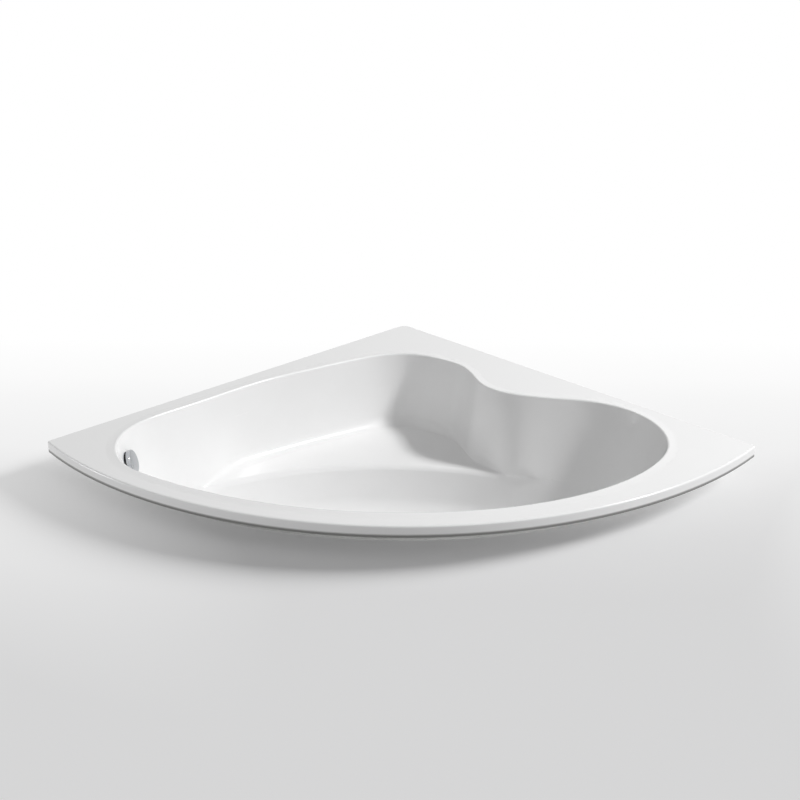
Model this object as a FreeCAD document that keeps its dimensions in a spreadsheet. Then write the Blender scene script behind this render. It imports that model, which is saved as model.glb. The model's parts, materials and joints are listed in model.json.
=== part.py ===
import FreeCAD, Part
import math
import os

import Sketcher
from FreeCAD import Placement, Rotation, Vector

# A drop-in corner bathtub: a quadrant acrylic basin with a seat in the back corner, stiffened
# below with glass fibre and boards, standing on levelling legs, with a turn-knob overflow whose
# wire lifts the plug of the waste, and a trap below the waste.
# Frame: +Z up, the bowed front faces -Y, the back corner is at +Y, Z is zero under the feet and
# X and Y are zero at the middle of the rim's box. Lengths are in millimetres, angles in degrees.

SIZES = {
    # Rim: the two wall sides, the bowed front, the lip that turns down over the deck
    "wall_length": 1400,
    "bow_radius": 1272,
    "rim_height": 600,
    "lip_height": 32,
    "lip_round": 5,
    "rim_corner_round": 30,
    "tip_round": 8,
    "acrylic": 5,
    # Opening: rim width at the front and left, rim width at the right wall, raised and rolled edge
    "rim_width": 70,
    "right_rim_width": 57,
    "left_end_radius": 235,
    "right_end_radius": 268,
    "right_front_width": 115,
    "edge_roll": 6,
    "bead_width": 24,
    "bead_rise": 2,
    # Basin: seat in the back corner, well along the front
    "seat_depth": 240,
    "seat_fall": 6,
    "seat_ease": 1.5,
    "floor_depth": 410,
    "well_draft_angle": 16,
    "bay_draft_angle": 7,
    "seat_fillet": 30,
    "riser_round": 12,
    "floor_fillet": 70,
    "riser_radius": 1000,
    # Stiffening under the acrylic
    "bond": 0.3,
    "glass": 4,
    "glass_top": 30,
    "board": 18,
    "base_length": 760,
    "base_width": 360,
    "base_gap": 180,
    "seat_board_length": 340,
    "seat_board_width": 150,
    "seat_board_gap": 24,
    "batten_width": 38,
    "batten_height": 18,
    "batten_gap": 4,
    "batten_left_length": 900,
    "batten_right_length": 560,
    "batten_end_gap": 90,
    # Legs: channel bars across the base board, studs, nuts and pads
    "bar_width": 40,
    "bar_height": 20,
    "bar_wall": 2.5,
    "bar_length": 730,
    "bar_inset": 120,
    "stud_radius": 6,
    "stud_top_gap": 2,
    "stud_end_gap": 26,
    "stud_clearance": 0.3,
    "nut_flats": 19,
    "nut_height": 10,
    "pad_radius": 30,
    "pad_top_radius": 13,
    "pad_height": 24,
    "pad_base": 7,
    "pad_socket_depth": 14,
    "post_width": 30,
    "post_wall": 2,
    "post_plate_width": 90,
    "post_screw_inset": 14,
    "post_plate_thickness": 4,
    "screw_radius": 2.5,
    "screw_head_radius": 5,
    "screw_head_height": 3,
    "screw_length": 16,
    "screw_clearance": 0.1,
    "bar_screw_inset": 40,
    "bar_screw_step": 90,
    # Overflow at the left end of the well
    "overflow_depth": 70,
    "outlet_hole_radius": 26,
    "spot_radius": 39,
    "boss_radius": 46,
    "boss_extra": 4,
    "boss_gap": 2,
    "insert_radius": 25,
    "insert_bore": 22,
    "insert_flange_radius": 33,
    "insert_flange": 3,
    "insert_length": 30,
    "hub_radius": 7,
    "hub_length": 10,
    "spoke_width": 4,
    "spindle_radius": 4,
    "spindle_clearance": 0.05,
    "cam_radius": 14,
    "cam_thickness": 5,
    "knob_radius": 35,
    "knob_thickness": 11,
    "knob_wall": 3,
    "knob_gap": 6,
    "knob_round": 4,
    "grip_radius": 9,
    "grip_depth": 3,
    "rubber": 4,
    "elbow_flange_radius": 42,
    "elbow_flange": 4,
    "elbow_radius": 32,
    "elbow_depth": 36,
    "thread_length": 12,
    "plastic_wall": 4,
    "joint_clearance": 0.3,
    # Overflow pipe, and beside it the conduit of the lifting wire
    "pipe_radius": 16,
    "pipe_wall": 2,
    "pipe_bend": 60,
    "socket_radius": 20,
    "socket_length": 34,
    "socket_depth": 20,
    "pipe_nut_radius": 23,
    "pipe_nut_length": 18,
    "pipe_nut_lip": 4,
    "conduit_radius": 3,
    "conduit_bore": 1.5,
    "conduit_aside": 28,
    "gland_radius": 6,
    "gland_length": 45,
    "gland_depth": 12,
    # Waste in the floor of the well
    "waste_run": 103,
    "flange_radius": 36,
    "flange_thickness": 5,
    "flange_seal_radius": 35,
    "flange_seal": 1.5,
    "flange_tube_length": 50,
    "flange_seat_radius": 31.5,
    "flange_seat_depth": 4,
    "flange_edge": 2,
    "guide_drop": 16,
    "body_flange_radius": 40,
    "body_flange": 5,
    "body_radius": 31,
    "body_wall": 4,
    "body_depth": 72,
    "body_outlet_radius": 20,
    "body_outlet_length": 24,
    "inlet_drop": 48,
    "plug_radius": 30,
    "plug_thickness": 3.5,
    "plug_crown": 2,
    "plug_neck_radius": 21,
    "plug_seal_radius": 28.5,
    "plug_seal": 2,
    "stem_length": 62,
    "lever_arm": 18,
    "lever_shaft_radius": 3,
    "lever_thickness": 5,
    "lever_width": 6,
    "lever_tip": 4,
    "lever_gap": 0.5,
    "lever_reach": 38,
    # Trap under the waste
    "trap_radius": 20,
    "trap_wall": 3,
    "trap_bend": 34,
    "trap_inlet_run": 16,
    "trap_rise": 6,
    "trap_elbow": 32,
    "trap_outlet_run": 90,
    "trap_nut_radius": 27,
    "trap_nut_length": 22,
    "trap_nut_overlap": 14,
    # How far cutters reach past what they cut
    "overrun": 10,
}

# Places on the opening's edge round the seat bay, from the left end to the right end of the well.
# Each pair is a distance past the rim from the left wall, as a share of the way to the right end's
# round, and from the right wall, as a share of the way to the left end's round.
BAY_SHARES = (
    (0.000, 0.906),
    (0.000, 0.767),
    (0.002, 0.617),
    (0.034, 0.462),
    (0.084, 0.284),
    (0.120, 0.198),
    (0.181, 0.131),
    (0.257, 0.097),
    (0.339, 0.083),
    (0.423, 0.077),
    (0.489, 0.090),
    (0.567, 0.120),
    (0.630, 0.144),
    (0.706, 0.152),
    (0.798, 0.133),
    (0.919, 0.079),
)
# How many of those places come before the seat
BEFORE_SEAT_COUNT = 1
# The two ends of the seat's front edge, in the same shares
RISER_END_SHARES = (
    (0.136, 0.784),
    (0.764, 0.222),
)
# Where the seat's front edge meets each place that has a seat, as a share of that edge
RISER_SHARES = (0, 0.12, 0.25, 0.41, 0.53, 0.65, 0.73, 0.80, 0.865, 0.905, 0.935, 0.965, 1)
# Places on the rounded ends and on the front. The right end's round starts at one angle and stops
# at another before it would touch the front, whose own run starts at a share of the angle between.
LEFT_END_COUNT = 4
RIGHT_END_COUNT = 5
RIGHT_END_START_ANGLE = 80
RIGHT_END_STOP_ANGLE = 17.3
FRONT_START_SHARE = 0.633
FRONT_COUNT = 7
SPOKE_COUNT = 3

doc = FreeCAD.newDocument("corner_bath")
sheet = doc.addObject("Spreadsheet::Sheet", "sizes")
for row, (alias, amount) in enumerate(SIZES.items(), 1):
    sheet.set(f"A{row}", alias)
    sheet.set(f"B{row}", str(amount))
    sheet.setAlias(f"B{row}", alias)
doc.recompute()

nodes = []


class Size:
    """A length that keeps its value and the sheet expression that it comes from."""

    def __init__(self, value, text):
        self.value = float(value)
        self.text = text

    def joined(self, sign, other, value):
        text = other.text if isinstance(other, Size) else f"({other})"
        return Size(value, f"({self.text} {sign} {text})")

    def __float__(self):
        return self.value

    def __add__(self, other):
        return self.joined("+", other, self.value + float(other))

    def __sub__(self, other):
        return self.joined("-", other, self.value - float(other))

    def __mul__(self, other):
        return self.joined("*", other, self.value * float(other))

    def __truediv__(self, other):
        return self.joined("/", other, self.value / float(other))

    def __neg__(self):
        return Size(-self.value, f"(0 - {self.text})")


class SheetSizes:
    """Reads a named cell of the sheet as a Size."""

    def __getattr__(self, alias):
        return Size(sheet.get(alias), f"sizes.{alias}")


s = SheetSizes()
ZERO = Size(0, "0")


def node(obj, label):
    """Marks an object of the document as a sub-part with this name."""
    obj.Label = label
    nodes.append(obj)
    return obj


def bind(obj, prop, size):
    obj.setExpression(prop, size.text)


def at(obj, x, y, z):
    """Binds an object's place to sizes."""
    bind(obj, "Placement.Base.x", x)
    bind(obj, "Placement.Base.y", y)
    bind(obj, "Placement.Base.z", z)
    return obj


def box(name, length, width, height):
    obj = doc.addObject("Part::Box", name)
    bind(obj, "Length", length)
    bind(obj, "Width", width)
    bind(obj, "Height", height)
    return obj


def cylinder(name, radius, height):
    obj = doc.addObject("Part::Cylinder", name)
    bind(obj, "Radius", radius)
    bind(obj, "Height", height)
    return obj


def fused(name, pieces):
    obj = doc.addObject("Part::MultiFuse", name)
    obj.Shapes = pieces
    return obj


def cut(name, base, tools):
    obj = doc.addObject("Part::Cut", name)
    obj.Base = base
    obj.Tool = tools[0] if len(tools) == 1 else fused(name + "_tools", tools)
    return obj


def origin_plane(body, role):
    return next(plane for plane in body.Origin.OriginFeatures if plane.Role == role)


def outline(body, name, role, points):
    """A closed sketch of straight sides whose corners are held by sizes."""
    sketch = body.newObject("Sketcher::SketchObject", name)
    sketch.AttachmentSupport = (origin_plane(body, role), [""])
    sketch.MapMode = "FlatFace"
    corners = [Vector(float(x), float(y), 0) for x, y in points]
    count = len(points)
    for i in range(count):
        sketch.addGeometry(Part.LineSegment(corners[i], corners[(i + 1) % count]))
    for i in range(count):
        sketch.addConstraint(Sketcher.Constraint("Coincident", i, 2, (i + 1) % count, 1))
    for i, point in enumerate(points):
        for kind, axis, size in (("DistanceX", -2, point[0]), ("DistanceY", -1, point[1])):
            if float(size) == 0:
                sketch.addConstraint(Sketcher.Constraint("PointOnObject", i, 1, axis))
                continue
            held = sketch.addConstraint(Sketcher.Constraint(kind, -1, 1, i, 1, float(size)))
            bind(sketch, f"Constraints[{held}]", size)
    return sketch


def turned(name, profile):
    """A body turned about its own Z axis from radius and height pairs."""
    body = doc.addObject("PartDesign::Body", name)
    sketch = outline(body, name + "_profile", "XZ_Plane", profile)
    turn = body.newObject("PartDesign::Revolution", name + "_turn")
    turn.Profile = sketch
    turn.ReferenceAxis = (sketch, ["V_Axis"])
    turn.Angle = 360
    return body


def ring(name, inner, outer, height):
    return turned(name, ((inner, ZERO), (outer, ZERO), (outer, height), (inner, height)))


def shaped(name, shape):
    """A document object that holds a shape made from the sheet's sizes."""
    obj = doc.addObject("Part::Feature", name)
    obj.Shape = shape
    return obj


# Plan of the rim and of the basin's opening
half_chord = float(s.wall_length) / math.sqrt(2)
bow_middle = math.sqrt(float(s.bow_radius) ** 2 - half_chord ** 2)
front_y = bow_middle - float(s.bow_radius)
back_y = half_chord - float(s.rim_corner_round) * (math.sqrt(2) - 1)
mid_y = (front_y + back_y) / 2
wall_right = Vector(1, -1, 0).normalize()
wall_left = Vector(-1, -1, 0).normalize()
UP_PLAN = Vector(0, 1, 0)
back_corner = UP_PLAN * (half_chord - mid_y)
bow_centre = UP_PLAN * (bow_middle - mid_y)


def from_walls(from_left, from_right):
    """The plan point at these distances from the left wall and from the right wall."""
    return back_corner + wall_right * from_left + wall_left * from_right


def round_point(centre, radius, degrees):
    turn = math.radians(degrees)
    return centre + Vector(math.cos(turn), math.sin(turn), 0) * radius


def heading(direction):
    return math.degrees(math.atan2(direction.y, direction.x))


def end_centre(start, along, reach):
    """The centre on a line beside a wall, at this reach from the bow's centre."""
    offset = start - bow_centre
    run = along.dot(offset)
    return start + along * (math.sqrt(run ** 2 - offset.dot(offset) + reach ** 2) - run)


# The left end's round touches the left rim and the front rim, and the right end's the right rim
# and a wider front rim
left_away = float(s.rim_width + s.left_end_radius)
left_centre = end_centre(from_walls(left_away, 0), wall_left, float(s.bow_radius) - left_away)
right_centre = end_centre(
    from_walls(0, float(s.right_rim_width + s.right_end_radius)),
    wall_right,
    float(s.bow_radius - s.right_front_width - s.right_end_radius),
)
left_turn = heading(left_centre - bow_centre)
right_turn = heading(right_centre - bow_centre)
right_start = round_point(right_centre, float(s.right_end_radius), RIGHT_END_START_ANGLE)
bay_length = (right_start - back_corner).dot(wall_right) - float(s.rim_width)
bay_width = (left_centre - back_corner).dot(wall_left) - float(s.rim_width)


def bay_place(shares):
    rim = float(s.rim_width)
    return from_walls(rim + shares[0] * bay_length, rim + shares[1] * bay_width)


def rounded(centre, radius, first, last, steps):
    """Places on a round from one angle to another, both ends included."""
    return [round_point(centre, radius, first + (last - first) * i / steps) for i in range(steps + 1)]


def opening_places():
    """Places on the opening's edge, clockwise from the front's left end."""
    square_to_wall = heading(-wall_right) - 360
    left = rounded(left_centre, float(s.left_end_radius), left_turn, square_to_wall, LEFT_END_COUNT)
    bay = [bay_place(shares) for shares in BAY_SHARES]
    stop = right_turn + RIGHT_END_STOP_ANGLE
    right = rounded(
        right_centre, float(s.right_end_radius), RIGHT_END_START_ANGLE, stop, RIGHT_END_COUNT
    )
    first = right_turn + FRONT_START_SHARE * (heading(-UP_PLAN) - right_turn)
    front = rounded(bow_centre, float(s.bow_radius - s.rim_width), first, left_turn, FRONT_COUNT)
    return left, bay, right, front[:-1]


def spacing(places):
    """The distance round the places to each of them, and all the way round."""
    marks = [0.0]
    for i, place in enumerate(places):
        marks.append(marks[-1] + place.distanceToPoint(places[(i + 1) % len(places)]))
    return marks


def closed_curve(places):
    """A smooth closed curve through the places, paced like the opening's edge."""
    curve = Part.BSplineCurve()
    curve.interpolate(Points=places, PeriodicFlag=True, Parameters=pace)
    return curve


def inward(places):
    """Unit directions into the basin, square to the closed curve through the places."""
    curve = closed_curve(places)
    tangents = [curve.tangent(mark)[0] for mark in pace[:-1]]
    return [Vector(t.y, -t.x, 0).normalize() for t in tangents]


left_places, bay_places, right_places, front_places = opening_places()
opening = left_places + bay_places + right_places + front_places
pace = spacing(opening)
into = inward(opening)
seat_first = len(left_places) + BEFORE_SEAT_COUNT
seat_last = seat_first + len(RISER_SHARES) - 1
well_slope = math.tan(math.radians(float(s.well_draft_angle)))
bay_slope = math.tan(math.radians(float(s.bay_draft_angle)))
edge_depth = float(s.edge_roll) - float(s.bead_rise)
rim_top = float(s.rim_height)


def has_seat(i):
    return seat_first <= i <= seat_last


def slope(i):
    return bay_slope if has_seat(i) else well_slope


def wall_place(i, depth):
    """Where the wall from the opening's place stands at this depth under the rim."""
    return opening[i] + into[i] * (slope(i) * (depth - edge_depth))


riser_left, riser_right = [bay_place(shares) for shares in RISER_END_SHARES]
riser_half = (riser_right - riser_left) / 2
riser_drop = math.sqrt(float(s.riser_radius) ** 2 - riser_half.Length ** 2)
riser_down = Vector(riser_half.y, -riser_half.x, 0).normalize()
riser_centre = riser_left + riser_half + riser_down * riser_drop
riser_crown = riser_centre + UP_PLAN * float(s.riser_radius)


def riser_places():
    """The well's edge at the seat's depth: the seat's front arc, and the wall elsewhere."""
    first = heading(riser_left - riser_centre)
    turn = heading(riser_right - riser_centre) - first
    places = [wall_place(i, float(s.seat_depth)) for i in range(len(opening))]
    for i, share in enumerate(RISER_SHARES, seat_first):
        places[i] = round_point(riser_centre, float(s.riser_radius), first + share * turn)
    return places


riser = riser_places()
well_line = right_centre - left_centre


def towards_line(place):
    """The direction from a place to the line between the centres of the well's two ends."""
    share = (place - left_centre).dot(well_line) / well_line.dot(well_line)
    return (left_centre + well_line * min(1, max(0, share)) - place).normalize()


into_well = [towards_line(place) for place in riser]
seat_run = [riser[i] - wall_place(i, float(s.seat_depth)) for i in range(len(opening))]
round_room = float(s.seat_fillet) + float(s.riser_round)


def over_seat(i, reach):
    """A step across the seat, shortened where the seat is narrow."""
    width = seat_run[i].Length
    if not has_seat(i):
        return Vector()
    return seat_run[i] * (reach / width * min(1, width / round_room))


def lowered(places, depth):
    return [Vector(place.x, place.y, rim_top - depth) for place in places]


def edge_ring(inset, depth):
    return lowered([p + n * inset for p, n in zip(opening, into)], depth)


def wall_ring(depth, reach, outside):
    """The wall at a depth, drawn in over the seat by a reach and out by a skin's thickness."""
    return lowered([
        wall_place(i, depth) - into[i] * outside + over_seat(i, reach)
        for i in range(len(opening))
    ], depth)


def well_ring(depth, back, inset, outside):
    """The well at a depth, drawn back over the seat, in towards the floor and out by a skin."""
    drawn_in = well_slope * (depth - float(s.seat_depth)) + inset
    places = [place + way * drawn_in for place, way in zip(riser, into_well)]
    return lowered([
        place - way * outside - over_seat(i, back)
        for i, (place, way) in enumerate(zip(places, inward(places)))
    ], depth)


def band(rings):
    """The face from ring to ring: straight between two, a round through the last of three."""
    curves = [closed_curve(ring) for ring in rings]
    degree = len(rings) - 1
    weights = {1: (1, 1), 2: (1, math.sqrt(0.5), 1)}[degree]
    poles = [list(row) for row in zip(*(curve.getPoles() for curve in curves))]
    surface = Part.BSplineSurface()
    surface.buildFromPolesMultsKnots(
        poles,
        curves[0].getMultiplicities(),
        (degree + 1, degree + 1),
        curves[0].getKnots(),
        (0, 1),
        True,
        False,
        curves[0].Degree,
        degree,
        [list(weights) for row in poles],
    )
    return surface.toShape()


def edge_bands(outside):
    """The rim's rise to the rolled edge, the edge itself, and the ring where they end."""
    roll = float(s.edge_roll)
    near = -roll - float(s.bead_width)
    high = outside - float(s.bead_rise)
    start = edge_ring(near, outside)
    foot = edge_ring((near - roll) / 2, outside)
    crest = edge_ring(-roll, high)
    roll_corner = edge_ring(-outside, high)
    roll_end = edge_ring(-outside, edge_depth)
    faces = [band((start, foot, crest)), band((crest, roll_corner, roll_end))]
    return start, faces, roll_end


def basin_bands(outside, top):
    """The wall, the seat, the riser and the floor below a top ring."""
    fillet = float(s.seat_fillet) + outside
    lip = float(s.riser_round) - outside
    foot = float(s.floor_fillet) + outside
    ease = float(s.seat_ease)
    seat = float(s.seat_depth) + outside
    edge = seat + float(s.seat_fall)
    floor = float(s.floor_depth) + outside
    wall_end = wall_ring(seat - fillet, 0, outside)
    seat_corner = wall_ring(seat, 0, outside)
    seat_start = wall_ring(seat + ease, fillet, outside)
    seat_end = well_ring(edge - ease, lip, 0, outside)
    riser_corner = well_ring(edge, 0, 0, outside)
    riser_start = well_ring(edge + lip, 0, 0, outside)
    riser_end = well_ring(floor - foot, 0, 0, outside)
    floor_corner = well_ring(floor, 0, 0, outside)
    floor_edge = well_ring(floor, 0, foot, outside)
    return [
        band((top, wall_end)),
        band((wall_end, seat_corner, seat_start)),
        band((seat_start, seat_end)),
        band((seat_end, riser_corner, riser_start)),
        band((riser_start, riser_end)),
        band((riser_end, floor_corner, floor_edge)),
        Part.Face(ring_wire(floor_edge)),
    ]


def ring_wire(ring):
    return Part.Wire(closed_curve(ring).toShape())


def sewn(faces):
    """The solid inside faces that share their edges."""
    shell = Part.Shell(faces)
    shell.sewShape()
    solid = Part.Solid(shell)
    if solid.Volume < 0:
        solid.reverse()
    return solid


def upright_edges(plate):
    """A plate's upright edges, the one at the back corner last."""
    edges = [e for e in plate.Edges if e.BoundBox.ZLength > float(s.bond)]
    return sorted(edges, key=lambda e: e.BoundBox.YMax)


def rim_prism(inset, bottom, top):
    """The quadrant plate of the rim, drawn in by an inset."""
    reach = float(s.bow_radius) - inset
    away = from_walls(inset, inset)
    half = away.y - bow_centre.y
    along = (math.sqrt(2 * reach ** 2 - half ** 2) + half) / math.sqrt(2)
    left = away + wall_left * along
    right = away + wall_right * along
    front = bow_centre + Vector(0, -reach, 0)
    edges = [
        Part.LineSegment(left, away).toShape(),
        Part.LineSegment(away, right).toShape(),
        Part.Arc(right, front, left).toShape(),
    ]
    plate = Part.Face(Part.Wire(edges)).extrude(Vector(0, 0, top - bottom))
    plate.translate(Vector(0, 0, bottom))
    plate = plate.makeFillet(float(s.tip_round) - inset, upright_edges(plate)[:-1])
    return plate.makeFillet(float(s.rim_corner_round) - inset, upright_edges(plate)[-1:])


def rim_tray():
    """The rim with its lip, open below and rounded along its top edge."""
    bottom = rim_top - float(s.lip_height)
    plate = rim_prism(0, bottom, rim_top)
    upper = [e for e in plate.Edges if e.BoundBox.ZMin > rim_top - float(s.bond)]
    plate = plate.makeFillet(float(s.lip_round), upper)
    skin = float(s.acrylic)
    return plate.cut(rim_prism(skin, bottom - float(s.overrun), rim_top - skin))


# Overflow's frame: its Z points from the wall into the basin, its X up along the wall
overflow_in = Rotation(Vector(0, 1, 0), 90 - float(s.well_draft_angle))
overflow_wall = left_centre + Vector(
    -float(s.left_end_radius) + well_slope * (float(s.overflow_depth) - edge_depth),
    0,
    rim_top - float(s.overflow_depth),
)
overflow_frame = Placement(overflow_wall, overflow_in.multiply(Rotation(Vector(0, 0, 1), 180)))
waste_x = left_centre.x + float(s.waste_run)
waste_y = left_centre.y
floor_z = rim_top - float(s.floor_depth)
under_glass = float(s.acrylic) + float(s.bond) + float(s.glass)
boss_back = -float(s.acrylic) - float(s.boss_extra)


def overflow_rod(radius, low, high):
    """A round bar on the overflow's axis between two heights in its frame."""
    rod = Part.makeCylinder(radius, high - low, Vector(0, 0, low))
    rod.Placement = overflow_frame
    return rod


def waste_bore(radius):
    length = under_glass + float(s.overrun)
    place = Vector(waste_x, waste_y, floor_z - length)
    return Part.makeCylinder(radius, length + float(s.overrun), place)


def rim_faces(mouth):
    """The rim's faces round the mouth of the basin, without the mouth's own wall."""
    deep = float(s.acrylic)
    prism = Part.Face(mouth).extrude(Vector(0, 0, -deep))
    rim = rim_tray().cut(prism)
    wall = [f for f in prism.Faces if f.BoundBox.ZLength > deep / 2]
    middles = [f.CenterOfMass for f in wall]
    return [f for f in rim.Faces if all(f.CenterOfMass.distanceToPoint(m) > deep / 2 for m in middles)]


def make_shell():
    deep = float(s.acrylic)
    mouth, inner_edge, inner_top = edge_bands(0)
    outer_edge, outer_top = edge_bands(deep)[1:]
    inside = inner_edge + basin_bands(0, inner_top)
    outside = outer_edge + basin_bands(deep, outer_top)
    solid = sewn(inside + outside + rim_faces(ring_wire(mouth)))
    hole = float(s.outlet_hole_radius)
    solid = solid.fuse(overflow_rod(float(s.boss_radius), boss_back, -deep / 2))
    solid = solid.cut(overflow_rod(float(s.spot_radius), 0, float(s.spot_radius)))
    solid = solid.cut(overflow_rod(hole, boss_back - deep, deep))
    return node(shaped("shell", solid.cut(waste_bore(hole))), "bath_shell")


def make_backing():
    near = float(s.acrylic) + float(s.bond)
    far = near + float(s.glass)
    inner_top = wall_ring(float(s.glass_top), 0, near)
    outer_top = wall_ring(float(s.glass_top), 0, far)
    top = Part.makeFace([ring_wire(outer_top), ring_wire(inner_top)], "Part::FaceMakerBullseye")
    solid = sewn(basin_bands(near, inner_top) + basin_bands(far, outer_top) + [top])
    room = float(s.boss_radius) + float(s.boss_gap)
    solid = solid.cut(overflow_rod(room, boss_back - room, room))
    solid = solid.cut(waste_bore(float(s.outlet_hole_radius)))
    return node(shaped("backing", solid), "glass_backing")


# Heights and middles that the pieces under the basin share
waste_top = s.rim_height - s.floor_depth
glass_bottom = waste_top - s.acrylic - s.bond - s.glass
base_bottom = glass_bottom - s.bond - s.board
bar_bottom = base_bottom - s.bar_height


def held(amount):
    """A worked-out length as a Size."""
    return Size(amount, f"({amount})")


middle_x = held(waste_x)
middle_y = held(waste_y)
seat_low = s.seat_depth + s.seat_fall - s.seat_ease
seat_bottom = s.rim_height - seat_low - s.acrylic - s.bond - s.glass
post_top = seat_bottom - s.bond - s.board
post_x = held(riser_crown.x)
post_y = held(riser_crown.y) + s.seat_board_gap + s.seat_board_width / 2
base_left = middle_x + s.base_gap
bar_places = (base_left + s.bar_inset, base_left + s.base_length - s.bar_inset)
stud_reach = s.bar_length / 2 - s.stud_end_gap
bar_screw_places = [
    middle_y + (s.bar_screw_inset + s.bar_screw_step * step) * side
    for side in (-1, 1)
    for step in range(2)
]
post_screw_reach = s.post_plate_width / 2 - s.post_screw_inset
post_screw_places = [
    (post_x + post_screw_reach * across, post_y + post_screw_reach * along)
    for across in (-1, 1)
    for along in (-1, 1)
]
base_screws = [(x, y, base_bottom - s.bar_wall) for x in bar_places for y in bar_screw_places]
seat_screws = [(x, y, post_top - s.post_plate_thickness) for x, y in post_screw_places]
bar_studs = [
    (x, middle_y + stud_reach * side, base_bottom - s.bar_wall)
    for x in bar_places
    for side in (-1, 1)
]
post_bottom = base_bottom - s.bar_wall
post_studs = [(post_x, post_y, post_bottom)]


def holes(name, places, radius, height):
    """Upright round cutters at these places, reaching a height up from each."""
    return [
        at(cylinder(f"{name}_{i}", radius, height), *place)
        for i, place in enumerate(places, 1)
    ]


def screw_holes(name, places):
    return holes(name, places, s.screw_radius + s.screw_clearance, s.screw_length + s.screw_clearance)


def stud_holes(name, places):
    deep = [(x, y, z - s.overrun) for x, y, z in places]
    return holes(name, deep, s.stud_radius + s.stud_clearance, s.overrun * 2)


def make_boards():
    base = box("base_plate", s.base_length, s.base_width, s.board)
    at(base, base_left, middle_y - s.base_width / 2, base_bottom)
    node(cut("base", base, screw_holes("base_hole", base_screws)), "base_board")
    seat = box("seat_plate", s.seat_board_length, s.seat_board_width, s.board)
    at(seat, post_x - s.seat_board_length / 2, post_y - s.seat_board_width / 2, post_top)
    node(cut("seat", seat, screw_holes("seat_hole", seat_screws)), "seat_board")


def make_batten(side, near, along, length):
    """A timber strip under the rim, beside the lip of one wall."""
    batten = box(f"batten_{side}", s.batten_width, length, s.batten_height)
    near.z = float(s.rim_height - s.acrylic - s.bond - s.batten_height)
    batten.Placement = Placement(near, Rotation(Vector(0, 1, 0), along))
    return node(batten, f"rim_batten_{side}")


def make_battens():
    edge = float(s.acrylic + s.batten_gap)
    start = s.batten_end_gap
    left = from_walls(edge, float(start + s.batten_left_length))
    make_batten("left", left, -wall_left, s.batten_left_length)
    right = from_walls(float(start), edge)
    make_batten("right", right, wall_right, s.batten_right_length)


def make_bar(side, x):
    """A channel, open below, screwed across the base board."""
    name = f"bar_{side}"
    low_y = middle_y - s.bar_length / 2
    solid = at(box(name, s.bar_width, s.bar_length, s.bar_height), x - s.bar_width / 2, low_y, bar_bottom)
    room = box(name + "_room", s.bar_width - s.bar_wall * 2, s.bar_length + s.overrun * 2, s.bar_height)
    at(room, x - s.bar_width / 2 + s.bar_wall, low_y - s.overrun, bar_bottom - s.bar_wall)
    screws = screw_holes(name + "_hole", [p for p in base_screws if float(p[0]) == float(x)])
    studs = stud_holes(name + "_stud_hole", [p for p in bar_studs if float(p[0]) == float(x)])
    return node(cut(name + "_channel", solid, [room] + screws + studs), f"leg_bar_{side}")


def make_post():
    """A square tube with a plate under the seat board and a closed foot."""
    high = post_top - s.post_plate_thickness
    half = s.post_width / 2
    tube = at(box("post_tube", s.post_width, s.post_width, high - post_bottom),
              post_x - half, post_y - half, post_bottom)
    plate_half = s.post_plate_width / 2
    plate = at(box("post_top", s.post_plate_width, s.post_plate_width, s.post_plate_thickness),
               post_x - plate_half, post_y - plate_half, high)
    inner = s.post_width - s.post_wall * 2
    room = at(box("post_room", inner, inner, high - post_bottom - s.bar_wall),
              post_x - inner / 2, post_y - inner / 2, post_bottom + s.bar_wall)
    tools = [room] + screw_holes("post_hole", seat_screws) + stud_holes("post_stud_hole", post_studs)
    return node(cut("post", fused("post_steel", [tube, plate]), tools), "seat_post")


def make_screws():
    """Wood screws through the bars and the post's plate, heads below."""
    shank = float(s.screw_length)
    head = float(s.screw_head_height)
    one = Part.makeCylinder(float(s.screw_radius), shank + head, Vector(0, 0, -head))
    one = one.fuse(Part.makeCylinder(float(s.screw_head_radius), head, Vector(0, 0, -head)))
    places = base_screws + seat_screws
    copies = [one.translated(Vector(float(x), float(y), float(z))) for x, y, z in places]
    return node(shaped("screws", Part.makeCompound(copies)), "wood_screws")


def make_nuts():
    """A fixed nut and a lock nut under each bar end and under the post."""
    prism = doc.addObject("Part::Prism", "nut_hexagon")
    prism.Polygon = 6
    bind(prism, "Circumradius", s.nut_flats / math.sqrt(3))
    bind(prism, "Height", s.nut_height)
    bore = at(cylinder("nut_bore", s.stud_radius + s.stud_clearance, s.nut_height + s.overrun * 2),
              ZERO, ZERO, -s.overrun)
    nut = cut("nut", prism, [bore])
    doc.recompute()
    copies = [
        nut.Shape.translated(Vector(float(x), float(y), float(z - s.nut_height * (1 + i))))
        for x, y, z in bar_studs + post_studs
        for i in range(2)
    ]
    return node(shaped("nuts", Part.makeCompound(copies)), "leg_nuts")


def make_leg(number, x, y):
    """A levelling leg: a threaded stud in the socket of a round pad."""
    socket = s.pad_height - s.pad_socket_depth
    length = base_bottom + s.board - s.stud_top_gap - socket
    stud = at(cylinder(f"stud_{number}", s.stud_radius, length), x, y, socket)
    node(stud, f"leg_stud_{number}")
    bore = s.stud_radius + s.stud_clearance
    pad = turned(f"pad_{number}", (
        (ZERO, ZERO),
        (s.pad_radius, ZERO),
        (s.pad_radius, s.pad_base),
        (s.pad_top_radius, s.pad_height),
        (bore, s.pad_height),
        (bore, socket),
        (ZERO, socket),
    ))
    return node(at(pad, x, y, ZERO), f"foot_pad_{number}")


def set_on(obj, frame, x, y, z, axis=Vector(0, 0, 1)):
    """Places an object in a frame, its Z along an axis of that frame."""
    obj.Placement = frame.multiply(Placement(Vector(x, y, z), Rotation(Vector(0, 0, 1), axis)))
    return obj


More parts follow.
